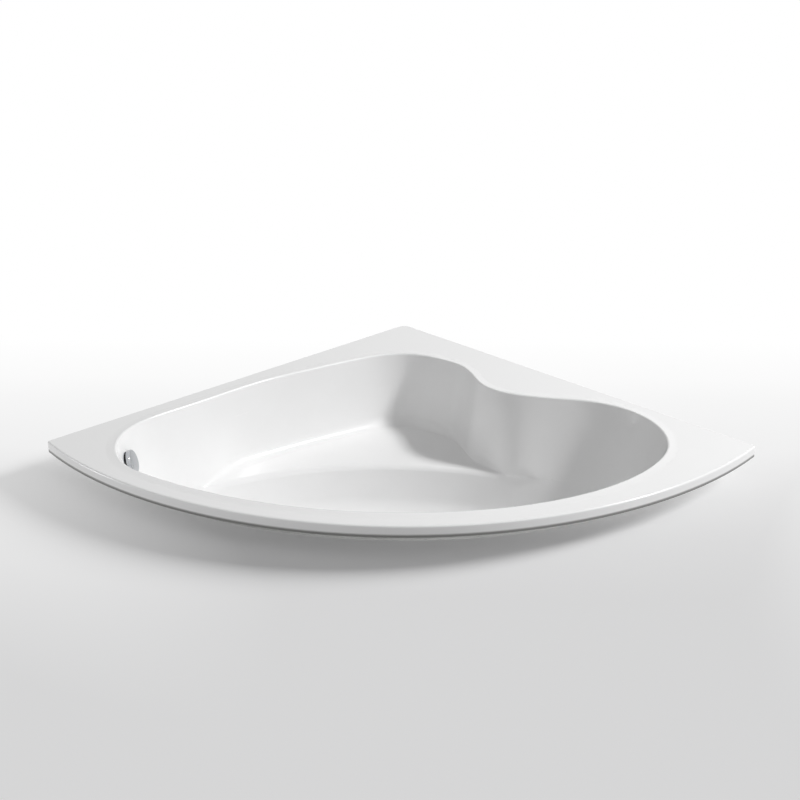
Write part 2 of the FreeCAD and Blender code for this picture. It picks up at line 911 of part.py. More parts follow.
def spokes(name, frame, low, height):
    """Bars from a guide hub to the tube round it."""
    bars = []
    length = s.insert_bore - s.hub_radius + s.joint_clearance * 2
    for i in range(SPOKE_COUNT):
        bar = box(f"{name}_{i}", length, s.spoke_width, height)
        offset = Vector(float(s.hub_radius - s.joint_clearance), float(-s.spoke_width) / 2, low)
        turn = Placement(Vector(), Rotation(Vector(0, 0, 1), 360 / SPOKE_COUNT * i))
        bar.Placement = frame.multiply(turn).multiply(Placement(offset, Rotation()))
        bars.append(bar)
    return bars


gasket_back = boss_back - float(s.rubber)
elbow_middle = gasket_back - float(s.elbow_flange + s.elbow_depth) / 2


def make_insert():
    """The threaded ring that clamps the overflow to the wall and carries the spindle."""
    tube = turned("insert_tube", (
        (s.insert_bore, -s.insert_length),
        (s.insert_radius, -s.insert_length),
        (s.insert_radius, ZERO),
        (s.insert_flange_radius, ZERO),
        (s.insert_flange_radius, s.insert_flange),
        (s.insert_bore, s.insert_flange),
    ))
    tube.Placement = overflow_frame
    hub = ring("insert_hub", s.spindle_radius + s.spindle_clearance, s.hub_radius, s.hub_length)
    low = -float(s.hub_length)
    set_on(hub, overflow_frame, 0, 0, low)
    bars = spokes("insert_spoke", overflow_frame, low, s.hub_length)
    return node(fused("insert", [tube, hub] + bars), "overflow_insert")


def make_knob():
    """The turning knob over the overflow: a hollow cap with two finger grips."""
    bore = s.spindle_radius + s.spindle_clearance
    floor = s.knob_thickness - s.knob_wall
    cap = turned("knob_cap", (
        (bore, ZERO),
        (s.hub_radius, ZERO),
        (s.hub_radius, floor),
        (s.knob_radius - s.knob_wall, floor),
        (s.knob_radius - s.knob_wall, ZERO),
        (s.knob_radius, ZERO),
        (s.knob_radius, s.knob_thickness - s.knob_round),
        (s.knob_radius - s.knob_round, s.knob_thickness),
        (ZERO, s.knob_thickness),
        (ZERO, floor),
        (bore, floor),
    ))
    low = float(s.insert_flange + s.knob_gap)
    set_on(cap, overflow_frame, 0, 0, low)
    reach = float(s.knob_radius + s.grip_radius - s.grip_depth)
    grips = []
    for side in (-1, 1):
        grip = cylinder(f"knob_grip_{side + 1}", s.grip_radius, s.knob_thickness + s.overrun * 2)
        grips.append(set_on(grip, overflow_frame, 0, reach * side, low - float(s.overrun)))
    return node(cut("knob", cap, grips), "overflow_knob")


def make_spindle():
    """The knob's spindle, with the cam that pulls the lifting wire."""
    front = s.insert_flange + s.knob_gap + s.knob_thickness - s.knob_wall - s.spindle_clearance
    cam_front = held(elbow_middle) + s.cam_thickness / 2
    cam_back = cam_front - s.cam_thickness
    back = cam_back - s.cam_thickness / 2
    spindle = turned("spindle", (
        (ZERO, back),
        (s.spindle_radius, back),
        (s.spindle_radius, cam_back),
        (s.cam_radius, cam_back),
        (s.cam_radius, cam_front),
        (s.spindle_radius, cam_front),
        (s.spindle_radius, front),
        (ZERO, front),
    ))
    spindle.Placement = overflow_frame
    return node(spindle, "knob_spindle")


def make_overflow_gasket():
    gasket = ring("overflow_rubber", s.insert_radius + s.joint_clearance, s.elbow_flange_radius, s.rubber)
    return node(set_on(gasket, overflow_frame, 0, 0, gasket_back), "overflow_gasket")


UP = Vector(0, 0, 1)
DOWN_WALL = Vector(-1, 0, 0)


def make_elbow():
    """The cup behind the wall, with a pipe socket down the wall and a conduit gland beside it."""
    thread = s.insert_radius + s.joint_clearance
    inner = s.elbow_radius - s.plastic_wall
    full = -(s.elbow_flange + s.elbow_depth)
    cup = turned("elbow_cup", (
        (ZERO, ZERO),
        (s.elbow_flange_radius, ZERO),
        (s.elbow_flange_radius, -s.elbow_flange),
        (s.elbow_radius, -s.elbow_flange),
        (s.elbow_radius, full),
        (ZERO, full),
    ))
    room = turned("elbow_room", (
        (ZERO, s.overrun),
        (thread, s.overrun),
        (thread, -s.thread_length),
        (inner, -s.thread_length),
        (inner, full + s.plastic_wall),
        (ZERO, full + s.plastic_wall),
    ))
    set_on(cup, overflow_frame, 0, 0, gasket_back)
    set_on(room, overflow_frame, 0, 0, gasket_back)
    aside = -float(s.conduit_aside)
    socket = set_on(cylinder("elbow_socket", s.socket_radius, s.elbow_radius + s.socket_length),
                    overflow_frame, 0, 0, elbow_middle, DOWN_WALL)
    gland = set_on(cylinder("elbow_gland", s.gland_radius, s.gland_length),
                   overflow_frame, 0, aside, elbow_middle, DOWN_WALL)
    mouth = float(s.elbow_radius + s.socket_length)
    tools = [room] + socket_bores("elbow", overflow_frame, elbow_middle, mouth)
    tools.append(gland_bore("elbow", overflow_frame, aside, elbow_middle))
    return node(cut("elbow", fused("elbow_solid", [cup, socket, gland]), tools), "overflow_elbow")


def socket_bores(name, frame, height, mouth):
    """Cutters for a pipe socket and the smaller way behind it, down the frame's X axis."""
    way = cylinder(name + "_way", s.pipe_radius - s.pipe_wall, held(mouth))
    seat = cylinder(name + "_seat", s.pipe_radius + s.joint_clearance, s.socket_depth + s.overrun)
    set_on(way, frame, 0, 0, height, DOWN_WALL)
    set_on(seat, frame, float(s.socket_depth) - mouth, 0, height, DOWN_WALL)
    return [way, seat]


def gland_bore(name, frame, aside, height):
    bore = cylinder(name + "_gland_bore", s.conduit_radius + s.spindle_clearance, s.gland_depth + s.overrun)
    return set_on(bore, frame, float(s.gland_depth - s.gland_length), aside, height, DOWN_WALL)


waste_frame = Placement(Vector(waste_x, waste_y, float(glass_bottom - s.rubber)), Rotation())
inlet_height = -float(s.inlet_drop)


def bent_route(start, turn, end, radius):
    """A straight run, a tangent arc and another straight run, as one wire."""
    back = (start - turn).normalize()
    on = (end - turn).normalize()
    half = back.getAngle(on) / 2
    reach = radius / math.tan(half)
    middle = (back + on).normalize() * (radius / math.sin(half) - radius)
    first = turn + back * reach
    last = turn + on * reach
    arc = Part.Arc(first, turn + middle, last)
    return Part.Wire([
        Part.LineSegment(start, first).toShape(),
        arc.toShape(),
        Part.LineSegment(last, end).toShape(),
    ])


def rod_along(wire, radius):
    """A round bar along a wire, square to its start."""
    start = wire.Edges[0]
    place = start.valueAt(start.FirstParameter)
    circle = Part.Circle(place, start.tangentAt(start.FirstParameter), radius)
    return wire.makePipeShell([Part.Wire(circle.toShape())], True, False)


def overflow_route(aside, from_elbow, from_waste):
    """The way from the elbow down the wall and across to the waste."""
    start = overflow_frame.multVec(Vector(-from_elbow, -aside, elbow_middle))
    down = overflow_frame.Rotation.multVec(DOWN_WALL)
    end = waste_frame.multVec(Vector(-from_waste, aside, inlet_height))
    turn = start + down * ((end.z - start.z) / down.z)
    return bent_route(start, turn, end, float(s.pipe_bend))


def make_pipe():
    from_elbow = float(s.elbow_radius + s.socket_length - s.socket_depth)
    from_waste = float(s.body_radius + s.socket_length - s.socket_depth)
    route = overflow_route(0, from_elbow, from_waste)
    way = rod_along(route, float(s.pipe_radius - s.pipe_wall))
    return node(shaped("pipe", rod_along(route, float(s.pipe_radius)).cut(way)), "overflow_pipe")


def make_conduit():
    """The stiff tube that leads the lifting wire from the spindle's cam to the lever."""
    end = float(s.gland_length - s.gland_depth)
    route = overflow_route(float(s.conduit_aside), end, end)
    way = rod_along(route, float(s.conduit_bore))
    return node(shaped("conduit", rod_along(route, float(s.conduit_radius)).cut(way)), "wire_conduit")


def make_pipe_nut(name, frame, height, mouth):
    """The nut over a pipe socket's mouth."""
    wide = s.socket_radius + s.joint_clearance
    narrow = s.pipe_radius + s.joint_clearance
    nut = turned(name + "_ring", (
        (wide, ZERO),
        (s.pipe_nut_radius, ZERO),
        (s.pipe_nut_radius, s.pipe_nut_length),
        (narrow, s.pipe_nut_length),
        (narrow, s.pipe_nut_length - s.pipe_nut_lip),
        (wide, s.pipe_nut_length - s.pipe_nut_lip),
    ))
    covered = float(s.pipe_nut_length - s.pipe_nut_lip)
    return node(set_on(nut, frame, covered - mouth, 0, height, DOWN_WALL), name)


flange_bottom = waste_top + s.flange_seal
plug_bottom = flange_bottom + s.flange_thickness - s.flange_seat_depth + (
    (s.plug_seal_radius + s.joint_clearance - s.insert_bore) / (s.flange_seat_radius - s.insert_bore)
    * s.flange_seat_depth
)


def make_waste_flange():
    """The chrome ring in the floor, with a seat for the plug and a guide for its stem."""
    frame = Placement(Vector(waste_x, waste_y, float(flange_bottom)), Rotation())
    body = turned("flange_ring", (
        (s.insert_bore, -s.flange_tube_length),
        (s.insert_radius, -s.flange_tube_length),
        (s.insert_radius, ZERO),
        (s.flange_radius, ZERO),
        (s.flange_radius, s.flange_thickness - s.flange_edge),
        (s.flange_radius - s.flange_edge, s.flange_thickness),
        (s.flange_seat_radius, s.flange_thickness),
        (s.insert_bore, s.flange_thickness - s.flange_seat_depth),
    ))
    body.Placement = frame
    low = -float(s.guide_drop + s.hub_length)
    hub = ring("flange_hub", s.spindle_radius + s.spindle_clearance, s.hub_radius, s.hub_length)
    set_on(hub, frame, 0, 0, low)
    bars = spokes("flange_spoke", frame, low, s.hub_length)
    return node(fused("flange", [body, hub] + bars), "waste_flange")


def make_seals():
    bore = s.outlet_hole_radius + s.joint_clearance
    upper = ring("upper_seal", bore, s.flange_seal_radius, s.flange_seal)
    node(at(upper, middle_x, middle_y, waste_top), "flange_seal")
    lower = ring("lower_seal", bore, s.body_flange_radius, s.rubber)
    node(at(lower, middle_x, middle_y, glass_bottom - s.rubber), "waste_gasket")


def make_plug():
    """The plug with its stem, and the rubber ring under its head."""
    head = s.plug_seal + s.plug_thickness
    plug = turned("plug_body", (
        (ZERO, -s.stem_length),
        (s.spindle_radius, -s.stem_length),
        (s.spindle_radius, ZERO),
        (s.plug_neck_radius, ZERO),
        (s.plug_neck_radius, s.plug_seal),
        (s.plug_radius, s.plug_seal),
        (s.plug_radius, head - s.flange_edge),
        (s.plug_radius - s.flange_edge, head),
        (ZERO, head + s.plug_crown),
    ))
    node(at(plug, middle_x, middle_y, plug_bottom), "lift_plug")
    seal = ring("plug_rubber", s.plug_neck_radius + s.spindle_clearance, s.plug_seal_radius, s.plug_seal)
    node(at(seal, middle_x, middle_y, plug_bottom), "plug_seal")


lever_z = plug_bottom - s.stem_length - s.lever_gap - s.lever_thickness / 2
lever_x = middle_x - s.lever_arm
BACK = Vector(0, 1, 0)


def make_lever():
    """The lever in the waste that lifts the plug's stem when the wire turns its shaft."""
    shaft = cylinder("lever_shaft", s.lever_shaft_radius, s.lever_reach + s.lever_width / 2)
    shaft.Placement = Placement(
        Vector(float(lever_x), waste_y - float(s.lever_width) / 2, float(lever_z)),
        Rotation(UP, BACK),
    )
    arm = box("lever_bar", s.lever_arm + s.lever_tip, s.lever_width, s.lever_thickness)
    at(arm, lever_x, middle_y - s.lever_width / 2, lever_z - s.lever_thickness / 2)
    return node(fused("lever", [shaft, arm]), "plug_lever")


def make_waste_body():
    """The cup under the floor, with the overflow's inlet, the conduit gland and the outlet."""
    thread = s.insert_radius + s.joint_clearance
    inner = s.body_radius - s.body_wall
    outlet_bore = s.body_outlet_radius - s.trap_wall
    bottom = -(s.body_depth + s.body_outlet_length)
    cup = turned("waste_cup", (
        (ZERO, ZERO),
        (s.body_flange_radius, ZERO),
        (s.body_flange_radius, -s.body_flange),
        (s.body_radius, -s.body_flange),
        (s.body_radius, -s.body_depth),
        (s.body_outlet_radius, -(s.body_depth + s.body_wall)),
        (s.body_outlet_radius, bottom),
        (ZERO, bottom),
    ))
    room = turned("waste_room", (
        (ZERO, s.overrun),
        (thread, s.overrun),
        (thread, -s.thread_length),
        (inner, -s.thread_length),
        (inner, -(s.body_depth - s.body_wall)),
        (outlet_bore, -s.body_depth),
        (outlet_bore, bottom - s.overrun),
        (ZERO, bottom - s.overrun),
    ))
    cup.Placement = waste_frame
    room.Placement = waste_frame
    aside = float(s.conduit_aside)
    socket = set_on(cylinder("waste_socket", s.socket_radius, s.body_radius + s.socket_length),
                    waste_frame, 0, 0, inlet_height, DOWN_WALL)
    gland = set_on(cylinder("waste_gland", s.gland_radius, s.gland_length),
                   waste_frame, 0, aside, inlet_height, DOWN_WALL)
    mouth = float(s.body_radius + s.socket_length)
    tools = [room] + socket_bores("waste", waste_frame, inlet_height, mouth)
    tools.append(gland_bore("waste", waste_frame, aside, inlet_height))
    bore = s.lever_shaft_radius + s.spindle_clearance
    shaft = cylinder("waste_shaft_bore", bore, s.lever_reach + s.overrun)
    shaft.Placement = Placement(Vector(float(lever_x), waste_y, float(lever_z)), Rotation(UP, BACK))
    tools.append(shaft)
    return node(cut("waste_cup_cut", fused("waste_solid", [cup, socket, gland]), tools), "waste_body")


def trap_route():
    """Down from the waste, round a U, up and out level towards the back."""
    bend = float(s.trap_bend)
    elbow = float(s.trap_elbow)
    top = float(glass_bottom - s.rubber - s.body_depth - s.body_outlet_length)
    low = top - float(s.trap_inlet_run)
    rise = low + float(s.trap_rise)

    def place(y, z):
        return Vector(waste_x, waste_y + y, z)

    diagonal = math.sqrt(0.5)
    far = 2 * bend
    edges = [
        Part.LineSegment(place(0, top), place(0, low)),
        Part.Arc(place(0, low), place(bend, low - bend), place(far, low)),
        Part.LineSegment(place(far, low), place(far, rise)),
        Part.Arc(
            place(far, rise),
            place(far + elbow * (1 - diagonal), rise + elbow * diagonal),
            place(far + elbow, rise + elbow),
        ),
        Part.LineSegment(
            place(far + elbow, rise + elbow),
            place(far + elbow + float(s.trap_outlet_run), rise + elbow),
        ),
    ]
    return Part.Wire([edge.toShape() for edge in edges])


def make_trap():
    route = trap_route()
    way = rod_along(route, float(s.trap_radius - s.trap_wall))
    node(shaped("trap", rod_along(route, float(s.trap_radius)).cut(way)), "trap_bend")
    nut = ring("trap_ring", s.trap_radius + s.joint_clearance, s.trap_nut_radius, s.trap_nut_length)
    joint = glass_bottom - s.rubber - s.body_depth - s.body_outlet_length
    node(at(nut, middle_x, middle_y, joint + s.trap_nut_overlap - s.trap_nut_length), "trap_nut")


make_shell()
make_backing()
make_boards()
make_battens()
make_bar("left", bar_places[0])
make_bar("right", bar_places[1])
make_post()
make_screws()
make_nuts()
for number, place in enumerate(bar_studs + post_studs, 1):
    make_leg(number, *place[:2])
make_insert()
make_knob()
make_spindle()
make_overflow_gasket()
make_elbow()
make_pipe()
make_pipe_nut("upper_pipe_nut", overflow_frame, elbow_middle, float(s.elbow_radius + s.socket_length))
make_pipe_nut("lower_pipe_nut", waste_frame, inlet_height, float(s.body_radius + s.socket_length))
make_conduit()
make_waste_flange()
make_seals()
make_plug()
make_lever()
make_waste_body()
make_trap()
doc.recompute()

for obj in doc.Objects:
    if "Invalid" in obj.State or "Error" in obj.State:
        raise RuntimeError(f"{obj.Name} did not build: {obj.getStatusString()}")
for piece in nodes:
    if piece.Shape.isNull() or not piece.Shape.isValid():
        raise RuntimeError(f"{piece.Label} has no sound shape")

os.makedirs("parts", exist_ok=True)
for piece in nodes:
    piece.Shape.exportStep(f"parts/{piece.Label}.step")
print(f"wrote {len(nodes)} sub-parts")
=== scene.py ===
# %% [markdown]
# A drop-in corner bath is one vacuum-formed acrylic sheet: two straight sides for the walls, a bowed
# front, a well along the front and a seat in the corner. What hangs below the rim (glass fibre, boards,
# legs, overflow and waste) is hidden once the bath is in its deck. The solids come from the CAD model,
# so this lesson is about the camera, the deck, the light, the finishes and the small threaded, ribbed
# and eased pieces that the solids leave plain.

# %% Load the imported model
import json
import math

import bpy
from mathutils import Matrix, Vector


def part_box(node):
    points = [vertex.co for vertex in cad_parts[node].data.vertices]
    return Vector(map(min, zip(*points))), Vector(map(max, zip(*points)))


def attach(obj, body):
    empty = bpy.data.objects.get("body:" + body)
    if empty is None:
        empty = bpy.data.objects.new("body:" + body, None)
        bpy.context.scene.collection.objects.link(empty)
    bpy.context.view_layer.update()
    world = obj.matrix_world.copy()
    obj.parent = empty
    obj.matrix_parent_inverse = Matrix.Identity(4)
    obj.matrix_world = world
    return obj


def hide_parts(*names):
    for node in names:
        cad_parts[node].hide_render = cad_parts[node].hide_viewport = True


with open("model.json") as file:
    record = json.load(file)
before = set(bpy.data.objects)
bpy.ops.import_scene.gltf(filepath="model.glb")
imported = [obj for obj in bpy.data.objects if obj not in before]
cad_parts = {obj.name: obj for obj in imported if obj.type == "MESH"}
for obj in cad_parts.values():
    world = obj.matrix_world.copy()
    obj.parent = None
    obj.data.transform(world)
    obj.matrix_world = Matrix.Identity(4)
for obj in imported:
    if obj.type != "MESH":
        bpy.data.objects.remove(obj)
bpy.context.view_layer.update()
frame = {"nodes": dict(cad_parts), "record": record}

# %% [markdown]
# The photograph was taken from a standing person's eye height, a little over three metres away, with a
# slightly long lens. Matching the straight back edges and the bow of the rim gives the place and the
# tilt, so the camera is set by numbers and needs no target and no lens shift.

# %% Camera
LENS = 54
CAMERA_PLACE = (0.0481, -3.2827, 2.0251)
CAMERA_TILT = 23.119
CAMERA_TURN = 0.908

camera_data = bpy.data.cameras.new("camera")
camera_data.sensor_width = 36
camera_data.lens = LENS
camera = bpy.data.objects.new("camera", camera_data)
bpy.context.scene.collection.objects.link(camera)
camera.location = CAMERA_PLACE
camera.rotation_euler = (math.radians(90 - CAMERA_TILT), 0, math.radians(CAMERA_TURN))
bpy.context.scene.camera = camera
bpy.context.scene.view_settings.view_transform = "Standard"
print("camera at", tuple(camera.location))

# %% [markdown]
# Every colour is written as the hex value a screen shows. Blender mixes light in linear numbers, so one
# function turns hex to linear. A second one adds a node, sets its values and joins its inputs, which
# keeps a material readable as a list of steps.

# %% Colour and node helpers
def linear(hex_colour):
    """An sRGB hex value as linear red, green, blue and alpha."""
    parts = [int(hex_colour[i:i + 2], 16) / 255 for i in (1, 3, 5)]
    return [p / 12.92 if p < 0.04045 else ((p + 0.055) / 1.055) ** 2.4 for p in parts] + [1]


def add(tree, kind, links=None, sockets=None, **settings):
    """Adds a node: settings are its own properties, sockets hold values, links join outputs to inputs."""
    made = tree.nodes.new(kind)
    for name, value in settings.items():
        setattr(made, name, value)
    for name, value in (sockets or {}).items():
        made.inputs[name].default_value = value
    for name, output in (links or {}).items():
        tree.links.new(output, made.inputs[name])
    return made


def new_material(name):
    """A material with an empty tree, its Object coordinates and its output's surface input."""
    material = bpy.data.materials.new(name)
    material.use_nodes = True
    tree = material.node_tree
    tree.nodes.clear()
    surface = add(tree, "ShaderNodeOutputMaterial").inputs["Surface"]
    return material, tree, add(tree, "ShaderNodeTexCoord").outputs["Object"], surface


print("white is", linear("#FFFFFF"))

# %% [markdown]
# The bath is dropped into a pale deck, and the lip stands a few fingers over it, so a dark line and a
# soft shadow show under the rim. The deck needs a hole with the rim's outline, drawn in a little. A disc
# as wide as the bow is trimmed along the two walls, its face is deleted, and its edge is extruded and
# scaled outwards into a broad ring, trimmed at both sides. An operator works on all that is selected, so
# each step starts by leaving nothing selected. The deck throws no shadow, so that the pieces under it stay
# lit in low views. The deck and the floor under the feet are the stage, not part of the bath.

# %% Deck and floor
DECK_HEIGHT = 0.516
DECK_INSET = 0.078
DECK_REACH = 3.2
DECK_SPREAD = 5
DECK_MIDDLE = (0, -0.2, DECK_HEIGHT)
DECK_SIDES = 192
FLOOR_RADIUS = 1.8
FLOOR_SIDES = 96
BOW_RADIUS = 1.272
BOW_CENTRE = (0, 0.5466)
BACK_CORNER_Y = 0.7378


def deselect():
    """Leaves nothing selected, so that the next operator acts on the new piece alone."""
    bpy.ops.object.select_all(action="DESELECT")


def trim(point, outward):
    """Cuts off what lies beyond a plane, on the piece that is open in edit mode."""
    bpy.ops.mesh.select_all(action="SELECT")
    bpy.ops.mesh.bisect(plane_co=point, plane_no=outward, clear_outer=True)


deselect()
bpy.ops.mesh.primitive_circle_add(vertices=DECK_SIDES, radius=BOW_RADIUS - DECK_INSET, fill_type="NGON",
                                  location=(*BOW_CENTRE, DECK_HEIGHT))
deck = bpy.context.object
deck.name = "deck"
bpy.ops.object.transform_apply(location=True)
bpy.ops.object.mode_set(mode="EDIT")
for side in (-1, 1):
    trim((0, BACK_CORNER_Y - DECK_INSET * math.sqrt(2), DECK_HEIGHT), (side, 1, 0))
bpy.ops.mesh.select_all(action="SELECT")
bpy.ops.mesh.delete(type="ONLY_FACE")
bpy.ops.mesh.select_all(action="SELECT")
bpy.ops.mesh.extrude_edges_move(TRANSFORM_OT_translate={"value": (0, 0, 0)})
bpy.ops.transform.resize(value=(DECK_SPREAD, DECK_SPREAD, 1), center_override=DECK_MIDDLE)
for side in (-1, 1):
    trim((side * DECK_REACH, 0, DECK_HEIGHT), (side, 0, 0))
bpy.ops.object.mode_set(mode="OBJECT")
deck.visible_shadow = False

deselect()
bpy.ops.mesh.primitive_circle_add(vertices=FLOOR_SIDES, radius=FLOOR_RADIUS, fill_type="NGON",
                                  location=(0, 0, 0))
floor = bpy.context.object
floor.name = "floor"
print("deck faces", len(deck.data.polygons), "at height", DECK_HEIGHT)

# %% [markdown]
# The paper sweep of a studio turns from pale grey at the camera to white behind the object. Here that is
# a mix of a matt surface, which keeps the shadow, and plain white that only the camera, reflections and
# clear pieces see. On the deck the share of white grows towards the back and towards the deck's own
# edges, so that it has no visible end. Near the left tip it grows a little too, where the photograph is
# lighter: that is painted light, which lifts the shadow under the left of the lip. On the floor it grows
# outwards from the feet. The paper's fibre is about a millimetre across.

# %% Paper for the deck and the floor
def seen_directly(tree):
    """One where a ray comes straight from the camera, a reflection or a clear piece."""
    path = add(tree, "ShaderNodeLightPath")
    both = add(tree, "ShaderNodeMath", {0: path.outputs["Is Camera Ray"], 1: path.outputs["Is Glossy Ray"]},
               operation="MAXIMUM")
    return add(tree, "ShaderNodeMath", {0: both.outputs[0], 1: path.outputs["Is Transmission Ray"]},
               operation="MAXIMUM").outputs[0]


def lay_paper(tree, place, surface, white_share):
    """Matt paper with a fine fibre, turning to plain white by a share worked out in the same tree."""
    seen = add(tree, "ShaderNodeMath", {0: white_share, 1: seen_directly(tree)}, operation="MULTIPLY")
    fibre = add(tree, "ShaderNodeTexNoise", {"Vector": place}, {"Scale": 900, "Detail": 2})
    tint = add(tree, "ShaderNodeMix", {"Factor": fibre.outputs["Fac"]},
               {6: linear("#FAFAFA"), 7: linear("#F5F5F6")}, data_type="RGBA")
    matt = add(tree, "ShaderNodeBsdfDiffuse", {"Color": tint.outputs[2]})
    white = add(tree, "ShaderNodeEmission", sockets={"Color": linear("#FFFFFF"), "Strength": 1})
    mix = add(tree, "ShaderNodeMixShader", {0: seen.outputs[0], 1: matt.outputs[0], 2: white.outputs[0]})
    tree.links.new(mix.outputs[0], surface)


deck_paper, tree, place, surface = new_material("matt deck paper")
along = add(tree, "ShaderNodeSeparateXYZ", {0: place})
depth = add(tree, "ShaderNodeMapRange", {"Value": along.outputs["Y"]}, {"From Min": -1.0, "From Max": 0.8})
back = add(tree, "ShaderNodeValToRGB", {"Fac": depth.outputs[0]})
stops = back.color_ramp.elements
stops[0].position, stops[0].color = 0.05, (0, 0, 0, 1)
stops[1].position, stops[1].color = 1.0, (1, 1, 1, 1)
for position, share in ((0.20, 0.10), (0.32, 0.26), (0.49, 0.61), (0.70, 0.77), (0.80, 0.88)):
    stops.new(position).color = (share, share, share, 1)
aside = add(tree, "ShaderNodeMath", {0: along.outputs["X"]}, operation="ABSOLUTE")
side_edge = add(tree, "ShaderNodeMapRange", {"Value": aside.outputs[0]},
                {"From Min": 0.75, "From Max": 1.55}, interpolation_type="SMOOTHSTEP")
front_edge = add(tree, "ShaderNodeMapRange", {"Value": along.outputs["Y"]},
                 {"From Min": -1.62, "From Max": -2.05}, interpolation_type="SMOOTHSTEP")
# painted light: more plain white near the left tip lifts the shadow under the left of the lip
left_shadow_lift = add(tree, "ShaderNodeMapRange", {"Value": along.outputs["X"]},
                {"From Min": -0.25, "From Max": -1.1, "To Max": 0.5})
reach = add(tree, "ShaderNodeVectorMath", {0: place}, {1: (*BOW_CENTRE, DECK_HEIGHT)}, operation="DISTANCE")
left_shadow_zone = add(tree, "ShaderNodeMapRange", {"Value": reach.outputs["Value"]}, {"From Min": 1.95, "From Max": 1.5})
painted_light_left_tip = add(tree, "ShaderNodeMath", {0: left_shadow_lift.outputs[0], 1: left_shadow_zone.outputs[0]}, operation="MULTIPLY")
share = back
for fade in (side_edge, front_edge, painted_light_left_tip):
    share = add(tree, "ShaderNodeMath", {0: share.outputs[0], 1: fade.outputs[0]}, operation="MAXIMUM")
lay_paper(tree, place, surface, share.outputs[0])
deck.data.materials.append(deck_paper)

floor_paper, tree, place, surface = new_material("matt floor paper")
reach = add(tree, "ShaderNodeVectorMath", {0: place}, operation="LENGTH")
share = add(tree, "ShaderNodeMapRange", {"Value": reach.outputs["Value"]},
            {"From Min": 0.9, "From Max": 1.7}, interpolation_type="SMOOTHSTEP")
lay_paper(tree, place, surface, share.outputs[0])
floor.data.materials.append(floor_paper)
print("paper on", deck.name, "and", floor.name)

# %% [markdown]
# One small key lamp stands high on the right and lights the bath: its crisp shade covers the right half
# of the seat bay and the right wall of the well and leaves the left wall bright. The long shadow under
# the left of the lip comes from a second, lower light, broad enough to blur it. A weak third lamp stands
# below the deck's edge and gives the left of the lip its glow: it comes from under the rim, so it can't
# reach into the well.

# %% Lamps
KEY_AZIMUTH = -4
KEY_HEIGHT = 46
KEY_DISTANCE = 8
KEY_SIZE = 1.2
KEY_WATTS = 455
LOW_AZIMUTH = 27
LOW_HEIGHT = 20
LOW_SPREAD = 17
LOW_STRENGTH = 3.85
BOUNCE_AZIMUTH = 182
BOUNCE_HEIGHT = -8
BOUNCE_SPREAD = 20
BOUNCE_STRENGTH = 1.1
SUN_DISTANCE = 5
LAMP_AIM = Vector((0, 0, 0.5))


def new_lamp(name, kind, azimuth, height, distance):
    """A lamp round the bath: azimuth in degrees from +X towards +Y, height in degrees over the deck."""
    lamp = bpy.data.objects.new(name, bpy.data.lights.new(name, kind))
    bpy.context.scene.collection.objects.link(lamp)
    turn, rise = math.radians(azimuth), math.radians(height)
    away = Vector((math.cos(rise) * math.cos(turn), math.cos(rise) * math.sin(turn), math.sin(rise)))
    lamp.location = LAMP_AIM + away * distance
    lamp.rotation_euler = away.to_track_quat("Z", "Y").to_euler()
    lamp.visible_camera = False
    return lamp


key_lamp = new_lamp("key_lamp", "AREA", KEY_AZIMUTH, KEY_HEIGHT, KEY_DISTANCE)
key_lamp.data.shape = "DISK"
key_lamp.data.size = KEY_SIZE
key_lamp.data.energy = KEY_WATTS
low_lamp = new_lamp("low_lamp", "SUN", LOW_AZIMUTH, LOW_HEIGHT, SUN_DISTANCE)
low_lamp.data.angle = math.radians(LOW_SPREAD)
low_lamp.data.energy = LOW_STRENGTH
bounce_lamp = new_lamp("bounce_lamp", "SUN", BOUNCE_AZIMUTH, BOUNCE_HEIGHT, SUN_DISTANCE)
bounce_lamp.data.angle = math.radians(BOUNCE_SPREAD)
bounce_lamp.data.energy = BOUNCE_STRENGTH
print("lamps", [lamp.name for lamp in (key_lamp, low_lamp, bounce_lamp)])

# %% [markdown]
# Lit by the key lamp and the low lamp together, the bath would be flat. So the low lamp is linked to the
# paper alone, and the key lamp leaves the paper out. The paper then throws too little light back at the
# lip, which is what the third lamp stands for, so that one is linked to the shell alone.

# %% Which lamp lights what
paper_only = bpy.data.collections.new("paper only")
all_but_paper = bpy.data.collections.new("all but paper")
for sheet in (deck, floor):
    paper_only.objects.link(sheet)
    all_but_paper.objects.link(sheet)
for entry in all_but_paper.collection_objects:
    entry.light_linking.link_state = "EXCLUDE"
low_lamp.light_linking.receiver_collection = paper_only
key_lamp.light_linking.receiver_collection = all_but_paper
shell_only = bpy.data.collections.new("shell only")
shell_only.objects.link(frame["nodes"]["bath_shell"])
bounce_lamp.light_linking.receiver_collection = shell_only
print("linked", [group.name for group in (paper_only, all_but_paper, shell_only)])

# %% [markdown]
# A white room fills the rest. It lights everything weakly and from all sides, and the camera, reflections
# and clear pieces see it as plain white, as they see the paper's far end.

# %% White room
ROOM_FILL = 0.30

world = bpy.data.worlds.new("white room")
bpy.context.scene.world = world
world.use_nodes = True
tree = world.node_tree
tree.nodes.clear()
fill = add(tree, "ShaderNodeBackground", sockets={"Color": linear("#FFFFFF"), "Strength": ROOM_FILL})
plain = add(tree, "ShaderNodeBackground", sockets={"Color": linear("#FFFFFF"), "Strength": 1})
both = add(tree, "ShaderNodeMixShader", {0: seen_directly(tree), 1: fill.outputs[0], 2: plain.outputs[0]})
tree.links.new(both.outputs[0], add(tree, "ShaderNodeOutputWorld").inputs["Surface"])
print("room fill", ROOM_FILL)
